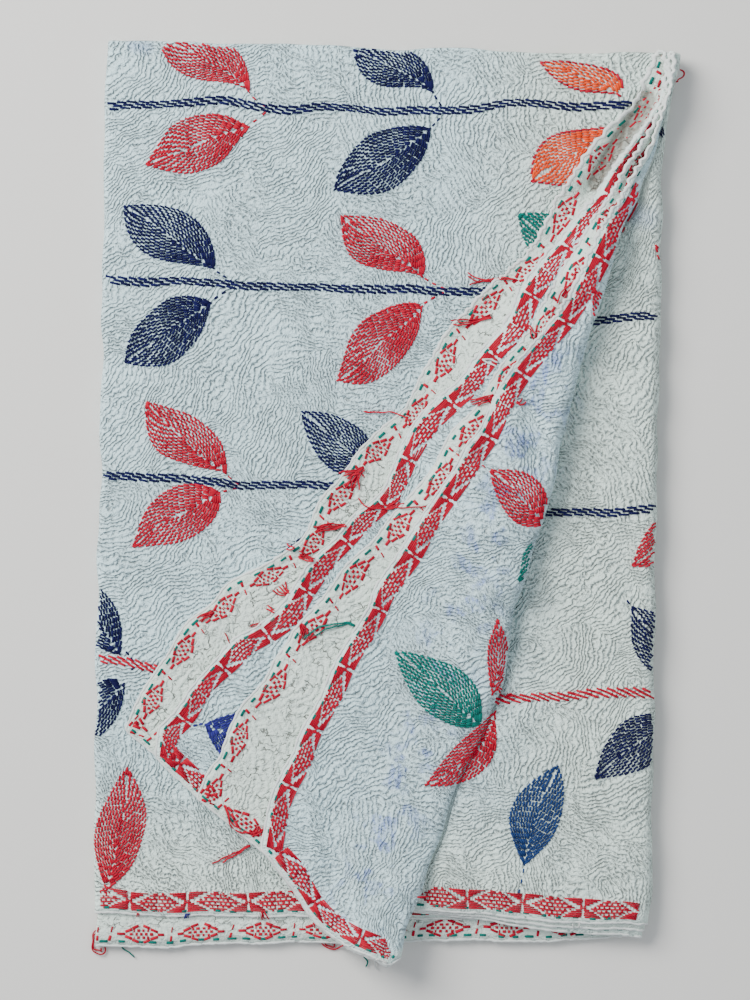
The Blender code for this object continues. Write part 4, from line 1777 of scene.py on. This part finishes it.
@dataclass
class ClothSheet:
    """The cloth itself: one sheet on its solid's folds, with its thickness."""

    plan: FoldPlan
    settling: Settling
    front_rows: int = 124
    inside_rows: int = 88
    turn_rows: int = 4
    inside_shift: Point2 = (0.61, 0.37)

    def rows(self) -> tuple[Array, Array]:
        """The half and the height up of each row: up the front, over the top fold and down inside."""
        over = np.cos(np.pi * np.arange(1, self.turn_rows) / self.turn_rows)
        front = np.linspace(0.0, 1.0, self.front_rows + 1)
        inside = np.linspace(1.0, 0.0, self.inside_rows + 1)
        half = np.concatenate([np.ones_like(front), over, -np.ones_like(inside)])
        return half, np.concatenate([front, np.ones_like(over), inside])

    def points(self) -> Array:
        """Every point of the sheet's middle, row by row, before it is settled."""
        half, up = (v[:, None] for v in self.rows())
        shares = ((run, np.arange(run.faces + (run is Run.FLAP_LOW)) / run.faces) for run in Run)
        runs = [self.plan.place(run, share[None, :], half, up) for run, share in shares]
        return np.concatenate(runs, axis=1)

    def slackness(self, rows: int) -> Array:
        """1 for points on the turned-back ends and 0 for those on the flat stack."""
        slack = (Run.FLAP_TOP, Run.RIDGE_TOP, Run.RIDGE_LOW, Run.FLAP_LOW)
        values = [np.full(run.faces + (run is Run.FLAP_LOW), float(run in slack)) for run in Run]
        return np.tile(np.concatenate(values), (rows, 1))

    def build(self) -> Piece:
        """The cloth, with its flat coordinates and both its finishes.

        The flat coordinates are the lengths along each row from the outer fold, and along each
        column from the bottom hem. On the turned-back ends they are x and y as the cloth lies, since
        its gathers there take up the rest, and the inside half is shifted to have its own pattern.

        Returns:
            The cloth's object.
        """
        laid = self.points()
        rows, columns = laid.shape[:2]
        number = np.arange(rows * columns).reshape(rows, columns)
        corners = (number[:-1, :-1], number[:-1, 1:], number[1:, 1:], number[1:, :-1])
        faces = np.stack(corners, axis=-1).reshape(-1, 4)
        sheet = mesh_object("quilt_cloth", self.settling.apply(laid).reshape(-1, 3), faces)
        outer = sum(run.faces for run in Run if run.value[0] <= Run.OUTER_FOLD.value[0])
        u = np.pad(np.cumsum(np.linalg.norm(np.diff(laid, axis=1), axis=2), axis=1), ((0, 0), (1, 0)))
        v = np.pad(np.cumsum(np.linalg.norm(np.diff(laid, axis=0), axis=2), axis=0), ((1, 0), (0, 0)))
        flat = np.stack([u - u[:, outer : outer + 1], v], axis=-1).reshape(-1, 2)[faces]
        turned = self.slackness(rows)[:-1, :-1].reshape(-1, 1, 1) > 0.5
        inside = np.repeat(np.arange(rows - 1) > self.front_rows + 1, columns - 1)[:, None, None]
        lying = laid[..., :2].reshape(-1, 2)[faces] + inside * np.array(self.inside_shift)
        layer = sheet.data.uv_layers.new(name="flat")
        layer.data.foreach_set("uv", np.where(turned, lying, flat).astype(np.float32).ravel())
        ends = np.minimum(u, u[:, -1:] - u)
        bottoms = np.minimum(v, v[-1:] - v)
        for name, values in (("edge", np.minimum(ends, bottoms)), ("slack", self.slackness(rows))):
            kept = sheet.data.attributes.new(name, "FLOAT", "POINT")
            kept.data.foreach_set("value", np.ascontiguousarray(values, np.float32).ravel())
        solid = sheet.modifiers.new("thickness", "SOLIDIFY")
        solid.thickness = self.plan.thickness
        solid.offset = 0.0
        solid.material_offset = 1
        sheet.data.materials.append(FRONT_FINISH.build())
        sheet.data.materials.append(REVERSE_FINISH.build())
        LOG.info("quilt cloth: %d faces before thickness", len(faces))
        return sheet


@dataclass
class RolledHem:
    """The narrow rolled hem round the whole cloth, drawn in a little at each stitch."""

    plan: FoldPlan
    settling: Settling
    radius: float = 0.00120
    ruffled_radius: float = 0.00180
    ruffle: float = 0.00105
    ruffle_least: float = 0.18
    waver: Waves = Waves(0.0052, 0.0105, 31, 12)
    ruffled_from: float = 0.060
    ruffled_to: float = 0.220
    scallop: float = 0.00018
    scallop_length: float = 0.0134
    waver_most: float = 1.4
    step: float = 0.0018
    sides: int = 6

    def edge(self) -> Array:
        """The cloth's edge, all the way round, before it is settled."""
        sheet = ClothSheet(self.plan, self.settling)
        half, up = sheet.rows()
        fine = np.linspace(0.0, 1.0, 60, endpoint=False)
        legs = [self.plan.place(run, fine, 1.0, 0.0) for run in Run]
        legs.append(self.plan.place(Run.FLAP_LOW, 1.0, half, up))
        legs += [self.plan.place(run, 1.0 - fine, -1.0, 0.0) for run in reversed(Run)]
        legs.append(self.plan.place(Run.FLAP_TOP, 0.0, half[::-1], up[::-1])[:-1])
        return np.concatenate(legs)

    def build(self) -> Piece:
        """The hem as one closed ring of a tube: a mesh whose stations and sides both join up.

        Towards the tip it is thicker and puckered: it wavers to both sides of the cloth's edge.
        """
        edge = self.edge()
        gaps = np.linalg.norm(np.diff(edge, axis=0, append=edge[:1]), axis=1)
        edge, gaps = edge[gaps > 1e-5], gaps[gaps > 1e-5]
        lengths = np.concatenate([[0.0], np.cumsum(gaps)])
        count = int(lengths[-1] / self.step)
        even = np.arange(count) * lengths[-1] / count
        closed = np.concatenate([edge, edge[:1]])
        line = np.stack([np.interp(even, lengths, closed[:, k]) for k in range(3)], axis=1)
        line = (np.roll(line, 1, axis=0) + 2.0 * line + np.roll(line, -1, axis=0)) / 4.0
        side, lift = frames(np.roll(line, -1, axis=0) - np.roll(line, 1, axis=0))
        draw = np.random.default_rng(71)
        puckered = smoothstep((line[:, 1] - self.ruffled_from) / (self.ruffled_to - self.ruffled_from))
        radius = blend(self.radius, self.ruffled_radius, puckered)
        radius = radius + self.scallop * np.cos(2.0 * math.pi * even / self.scallop_length)
        radius = radius * draw.uniform(0.92, 1.08, count)
        waver = self.waver.at(even, 0.0 * even) * blend(self.ruffle_least, 1.0, puckered)
        line = line + side * (self.ruffle * np.clip(waver, -self.waver_most, self.waver_most))[:, None]
        points = rings_round(line, side, lift, radius, self.sides)
        number = np.arange(count * self.sides).reshape(count, self.sides)
        ahead = np.roll(number, -1, axis=0)
        corners = (number, np.roll(number, -1, axis=1), np.roll(ahead, -1, axis=1), ahead)
        faces = np.stack(corners, axis=-1).reshape(-1, 4)
        shade = np.repeat(draw.uniform(0.2, 1.0, count), self.sides)
        tube = mesh_object("rolled_hem", self.settling.apply(points).reshape(-1, 3), faces, shade)
        tube.data.materials.append(HEM_FINISH.build())
        LOG.info("rolled hem: %d faces", len(faces))
        return tube


@dataclass(frozen=True)
class HemLine:
    """A stretch of hem that shows: its course, its face, and where its first crossing lies."""

    runs: tuple[tuple[Run, float, float], ...]
    half: int
    side: Darning
    layer: str
    first_crossing: float
    up_from: float = 0.0
    up_to: float = 0.0
    cover: Cover = Cover.BOTH
    crossings: tuple[Point2, ...] = ()
    plain_until: float = 0.0
    gathering: float = 1.0
    breadth: float = 1.0


# Places of the border's crossings along the hems, in millimetres.
CROSSINGS_D = (
    (207, 256), (179, 205), (150, 153), (88, 56), (53, 2), (23, -44),
    (-55, -193), (-79, -243), (-94, -296),
)
CROSSINGS_B = (
    (190, 261), (154, 215), (124, 173), (95, 121), (58, 84), (25, 36),
    (3, -6), (-29, -38), (-64, -78), (-97, -113), (-135, -144),
    (-166, -189), (-160, -226),
)
CROSSINGS_A = (
    (167, 270), (135, 219), (104, 183), (66, 142), (41, 94), (11, 59),
    (-49, -15), (-78, -51), (-118, -74), (-158, -106), (-185, -145),
)
CROSSINGS_C = ((59, 43), (-5, -42), (-79, -133), (-111, -182))
CROSSINGS_LOW_LEFT = ((-216, -335), (-167, -335), (-115, -335))
CROSSINGS_LOW_RIGHT = ((71, -336), (121, -337), (170, -338), (223, -339))

FRONT, REVERSE = Darning
HEM_LINES = (
    HemLine(
        ((Run.FLAP_TOP, 0.0, 0.0),), 1, FRONT, "top", 0.030, 1.0, 0.0, crossings=CROSSINGS_D,
        plain_until=0.108, gathering=0.6,
    ),
    HemLine(((Run.FLAP_TOP, 0.0, 1.0), (Run.RIDGE_TOP, 0.0, 1.0)), 1, FRONT, "top", 0.012, cover=OVER),
    HemLine(
        ((Run.RIGHT_TOP, 0.0, 1.0),), 1, FRONT, "top", 0.030, cover=RIGHT,
        crossings=CROSSINGS_LOW_RIGHT, breadth=1.12,
    ),
    HemLine(
        ((Run.FLAP_TOP, 0.0, 0.0),), -1, REVERSE, "third", 0.010, 1.0, 0.0,
        crossings=CROSSINGS_C, gathering=0.5,
    ),
    HemLine(((Run.FLAP_TOP, 0.0, 0.6),), -1, REVERSE, "third", 0.020),
    HemLine(
        ((Run.FLAP_LOW, 1.0, 1.0),), -1, FRONT, "second", 0.015, 1.0, 0.0,
        crossings=CROSSINGS_B, gathering=0.5,
    ),
    HemLine(((Run.FLAP_LOW, 1.0, 0.6),), -1, FRONT, "second", 0.020),
    HemLine(((Run.FLAP_LOW, 1.0, 1.0),), 1, REVERSE, "first", 0.022, 1.0, 0.0, crossings=CROSSINGS_A),
    HemLine(((Run.FLAP_LOW, 1.0, 0.4),), 1, REVERSE, "first", 0.020),
    HemLine(
        ((Run.FACE_PANEL, 0.0, 1.0),), 1, FRONT, "panel", 0.024,
        crossings=CROSSINGS_LOW_LEFT, breadth=1.14,
    ),
    HemLine(((Run.FACE_PANEL, 0.0, 1.0),), -1, REVERSE, "under", 0.010),
    HemLine(((Run.RIGHT_LOW, 1.0, 0.0),), -1, FRONT, "second", 0.018, cover=RIGHT),
)


@dataclass
class Needlework:
    """All the coloured thread on the quilt: leaves, vines, stems, borders and hem stitches."""

    plan: FoldPlan
    settling: Settling
    leaf_size: StitchSize = StitchSize(width=0.0020, height=0.0010, taper=0.0002)
    vine_size: StitchSize = StitchSize(width=0.0022, height=0.0010, rings=3, taper=0.0003)
    stem_size: StitchSize = StitchSize(width=0.0019)
    hem_size: StitchSize = StitchSize(width=0.0024, height=0.0010, rings=3)
    hem_stitch: float = 0.0068
    hem_period: float = 0.0134
    hem_inset: float = 0.0038
    gathered_from: float = 0.190
    gathered_over: float = 0.130
    strand_step: float = 0.0014
    strand_sides: int = 5

    def __post_init__(self) -> None:
        """Makes the chart of each layer that shows, and a heap for each thread."""
        self.charts: dict[str, Chart] = {
            "top": UpperChart(self.plan, 1, True, "hem_d"),
            "third": UpperChart(self.plan, -1, True, "hem_c"),
            "second": UpperChart(self.plan, -1, False, "hem_b"),
            "first": UpperChart(self.plan, 1, False, "hem_a"),
            "panel": PanelChart(self.plan, 1),
            "under": PanelChart(self.plan, -1),
        }
        self.layers = {
            name: StitchLayer(chart, self.settling, 100 + k)
            for k, (name, chart) in enumerate(self.charts.items())
        }
        self.heaps = {thread: Heap() for thread in Thread}
        self.darning = Heap()
        self.draw = np.random.default_rng(7)

    def hem_path(self, line: HemLine) -> Path:
        """The course of a stretch of hem, over x and y."""
        legs = []
        for run, start, end in line.runs:
            steps = np.linspace(0.0, 1.0, 200)
            share = blend(start, end, steps)
            up = blend(line.up_from, line.up_to, steps)
            legs.append(self.plan.place(run, share, float(line.half), up)[:, :2])
        return Path(np.concatenate(legs), reach=0.012, turn_reach=0.036)

    def lay_leaves(self) -> None:
        """The leaves, and the dark red outline round each orange one."""
        placed = (("panel", LEAVES_ON_PANEL), ("top", LEAVES_ON_TOP), ("second", LEAVES_ON_SECOND))
        for name, leaves in placed:
            for leaf in leaves:
                start, end, row = leaf.rows(self.draw)
                outer = (row == 0) & (leaf.outline_thread is not None)
                for chosen, thread in ((~outer, leaf.thread), (outer, leaf.outline_thread)):
                    if chosen.any():
                        heap = self.heaps[thread]
                        layer = self.layers[name]
                        layer.lay(heap, start[chosen], end[chosen], self.leaf_size, leaf.cover)

    def lay_vines(self) -> None:
        """The vines and the dotted stems."""
        for name, vines in (("panel", VINES_ON_PANEL), ("top", VINES_ON_TOP)):
            for vine in vines:
                start, end = vine.rows_of_stitches(self.draw)
                self.layers[name].lay(self.heaps[vine.thread], start, end, self.vine_size, vine.cover)
        placed = (("panel", STEMS_ON_PANEL), ("top", STEMS_ON_TOP), ("second", STEMS_ON_SECOND))
        for name, stems in placed:
            for stem in stems:
                a, b = metres(stem.start), metres(stem.end)
                length = float(np.hypot(*(b - a)))
                count = max(1, round(length / stem.period))
                middle = (np.arange(count) + 0.5) / count
                half = stem.stitch / 2 / length
                start = a + (middle - half)[:, None] * (b - a)
                end = a + (middle + half)[:, None] * (b - a)
                self.layers[name].lay(self.heaps[stem.thread], start, end, self.stem_size)

    def lay_borders(self) -> None:
        """The darned borders and the green running stitch outside them, along every hem that shows."""
        border = Border()
        for line in HEM_LINES:
            path = self.hem_path(line)
            marks = border.marks(path, line.crossings, line.first_crossing)
            first, last, beside, beyond = border.floats(path, line.side, marks, self.draw)
            layer = self.layers[line.layer]
            front = line.side is Darning.FRONT
            fine = border.front_size if front else border.reverse_size

            def gathered(along: Array, off: Array) -> Array:
                """Places beside the hem, drawn in towards it near the tip, where cloth is gathered."""
                y = path.at(along, 0.0 * off)[..., 1]
                near = smoothstep((y - self.gathered_from) / self.gathered_over)
                drawn_in = (off - self.hem_inset) * blend(line.breadth, line.gathering, near)
                return path.at(along, self.hem_inset + drawn_in)

            shown = first > line.plain_until
            first, last, beside, beyond = (v[shown] for v in (first, last, beside, beyond))
            layer.lay(self.darning, gathered(first, beside), gathered(last, beyond), fine, line.cover)
            if not front:
                first, beside, last, beyond = border.cross_dashes(marks)
                outer = beside < border.edge_distance
                for chosen, size in zip((outer, ~outer), border.dash_sizes):
                    ends = gathered(first[chosen], beside[chosen]), gathered(last[chosen], beyond[chosen])
                    layer.lay(self.darning, *ends, size, line.cover)
            count = np.arange(int(path.length / self.hem_period))
            middle = (count + 0.5 + self.draw.uniform(-0.13, 0.13, len(count))) * self.hem_period
            half = self.hem_stitch / 2 * self.draw.uniform(0.75, 1.15, len(count))
            half = half * (0.80 if front else 1.0)
            beside = self.hem_inset + self.draw.uniform(-0.3, 0.3, len(count)) * MM
            start, end = gathered(middle - half, beside), gathered(middle + half, beside)
            layer.lay(self.heaps[Thread.TEAL], start, end, self.hem_size, line.cover)

    def seen(self) -> Chart:
        """The height of whatever shows from above: each layer lies on those below, inside its hems."""
        chart = Chart(self.plan)
        chart.z = self.charts["panel"].z.copy()
        folds = (Place.INNER_FOLD, Place.LEFT_FOLD)
        below = self.plan.panel(folds, np.linspace(1, 0, 90), 0.0, 1.0, 0.0)
        edge = np.interp(chart.x, below[0], below[1])
        chart.z = np.where(chart.y[:, None] > edge[None, :], chart.z, 0.0010)
        order = (
            ("first", 1, Run.FLAP_LOW), ("second", -1, Run.FLAP_LOW),
            ("third", -1, Run.FLAP_TOP), ("top", 1, Run.FLAP_TOP),
        )
        for name, half, run in order:
            layer = self.charts[name]
            lower = self.plan.place(run, np.linspace(0.0, 1.0, 300), float(half), 0.0)
            lower = lower[np.argsort(lower[:, 0])]
            edge = np.interp(chart.x, lower[:, 0], lower[:, 1], right=-0.36)
            on = (chart.x[None, :] > layer.hem[:, None]) & (chart.y[:, None] > edge[None, :])
            chart.z = np.where(on, layer.z, chart.z)
        return chart

    def lay_loose_ends(self) -> None:
        """The loose threads and tufts: rods bent along the quilt, held up where they cross a hem."""
        chart = self.seen()
        bell = np.array([1.0, 2.0, 3.0, 2.0, 1.0]) / 9.0

        def averaged(values: Array) -> Array:
            """Each value averaged with the two on either side of it."""
            return np.convolve(np.pad(values, 2, "edge"), bell, "valid")

        for loose in LOOSE_ENDS:
            for strand in range(loose.strands):
                path = Path(metres(loose.points), step=0.001)
                count = max(8, int(path.length / self.strand_step))
                share = np.linspace(0.0, 1.0, count)
                off = strand - (loose.strands - 1) / 2
                spread = loose.spread * MM / max(1, loose.strands - 1)
                fan = loose.beside * off + off * spread * 2.0 * share
                phase = self.draw.uniform(0.0, 6.28, 2)
                sway = 0.0007 * np.sin(share * 9.0 + phase[0]) + 0.0004 * np.sin(share * 23.0 + phase[1])
                reach = self.draw.uniform(0.72, 1.0) if strand else 1.0
                line = path.at(share * path.length * reach, sway + fan)
                line = np.stack([averaged(line[:, k]) for k in (0, 1)], axis=1)
                floor = chart.sampled(line[:, 0], line[:, 1])
                held = np.max([np.roll(np.pad(floor, 2, "edge"), k)[2:-2] for k in range(-2, 3)], axis=0)
                arch = loose.arch * np.abs(np.sin(share * 5.0 + phase[0]))
                centre = np.column_stack([line, averaged(held) + loose.clearance + arch])
                side, lift = frames(np.gradient(centre, axis=0))
                rings = rings_round(centre, side, lift, loose.radius, self.strand_sides)[None, 1:-1]
                shade = self.draw.uniform(0.0, 1.0, 1)
                points, faces, shades = rods(rings, centre[None, [0, -1]], shade)
                self.heaps[loose.thread].add(self.settling.apply(points), faces, shades)

    def build(self) -> list[Piece]:
        """Every piece of thread, one for each colour and one for the borders."""
        self.lay_leaves()
        self.lay_vines()
        self.lay_borders()
        self.lay_loose_ends()
        finishes = {thread: THREAD_FINISHES[thread].build() for thread in Thread}
        pieces = []
        for thread, heap in self.heaps.items():
            piece = heap.build(f"{thread.value}_stitching")
            piece.data.materials.append(finishes[thread])
            pieces.append(piece)
        border = self.darning.build("darned_border")
        border.data.materials.append(finishes[Thread.RED])
        return pieces + [border]


# The set


@dataclass(frozen=True)
class Studio:
    """A plain pale floor, soft light from the upper left, and the camera straight above."""

    floor_size: float = 6.0
    camera_height: float = 3.012
    camera_at: Point2 = (-0.0091, 0.0011)
    lens: float = 127.0
    room_colour: Colour = (0.86, 0.92, 1.0, 1.0)
    room_strength: float = 0.56

    def build(self) -> None:
        """Adds the floor, the lights and the camera."""
        reach = self.floor_size / 2
        corners = reach * np.array([(-1.0, -1, 0), (1, -1, 0), (1, 1, 0), (-1, 1, 0)])
        floor = mesh_object("floor", corners, np.array([[0, 1, 2, 3]]))
        shader = Shader("pale floor")
        floor.data.materials.append(shader.finish(Base_Color=from_screen(226, 224, 220), Roughness=0.9))
        world = bpy.data.worlds.new("room light")
        world.use_nodes = True
        background = world.node_tree.nodes["Background"]
        background.inputs["Color"].default_value = self.room_colour
        background.inputs["Strength"].default_value = self.room_strength
        bpy.context.scene.world = world
        self.lamp("window light", (-1.9, 1.5, 2.1), size=1.8, power=175.0, colour=(1.0, 0.99, 0.96))
        self.lamp("fill light", (1.6, -1.2, 2.6), size=2.4, power=12.0, colour=(0.94, 0.97, 1.0))
        camera = bpy.data.cameras.new("camera")
        camera.lens = self.lens
        camera.sensor_width = 36.0
        holder = bpy.data.objects.new("camera", camera)
        holder.location = (*self.camera_at, self.camera_height)
        bpy.context.scene.collection.objects.link(holder)
        bpy.context.scene.camera = holder

    @staticmethod
    def lamp(name: str, place: Point3, size: float, power: float, colour: Point3) -> None:
        """Adds a square lamp that faces the middle of the quilt."""
        light = bpy.data.lights.new(name, "AREA")
        light.size = size
        light.energy = power
        light.color = colour
        holder = bpy.data.objects.new(name, light)
        holder.location = place
        way = np.array(place, float)
        way /= np.linalg.norm(way)
        holder.rotation_euler = (math.acos(way[2]), 0.0, math.atan2(way[1], way[0]) + math.pi / 2)
        bpy.context.scene.collection.objects.link(holder)


def main() -> None:
    """Builds the quilt and its set."""
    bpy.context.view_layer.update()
    plan = FoldPlan()
    settling = Settling(plan)
    cloth = ClothSheet(plan, settling).build()
    hem = RolledHem(plan, settling).build()
    thread = Needlework(plan, settling).build()
    Studio().build()
    for piece in (cloth, hem, *thread):
        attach(piece, "root")
        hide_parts("quilt")


if __name__ == "__main__":
    main()
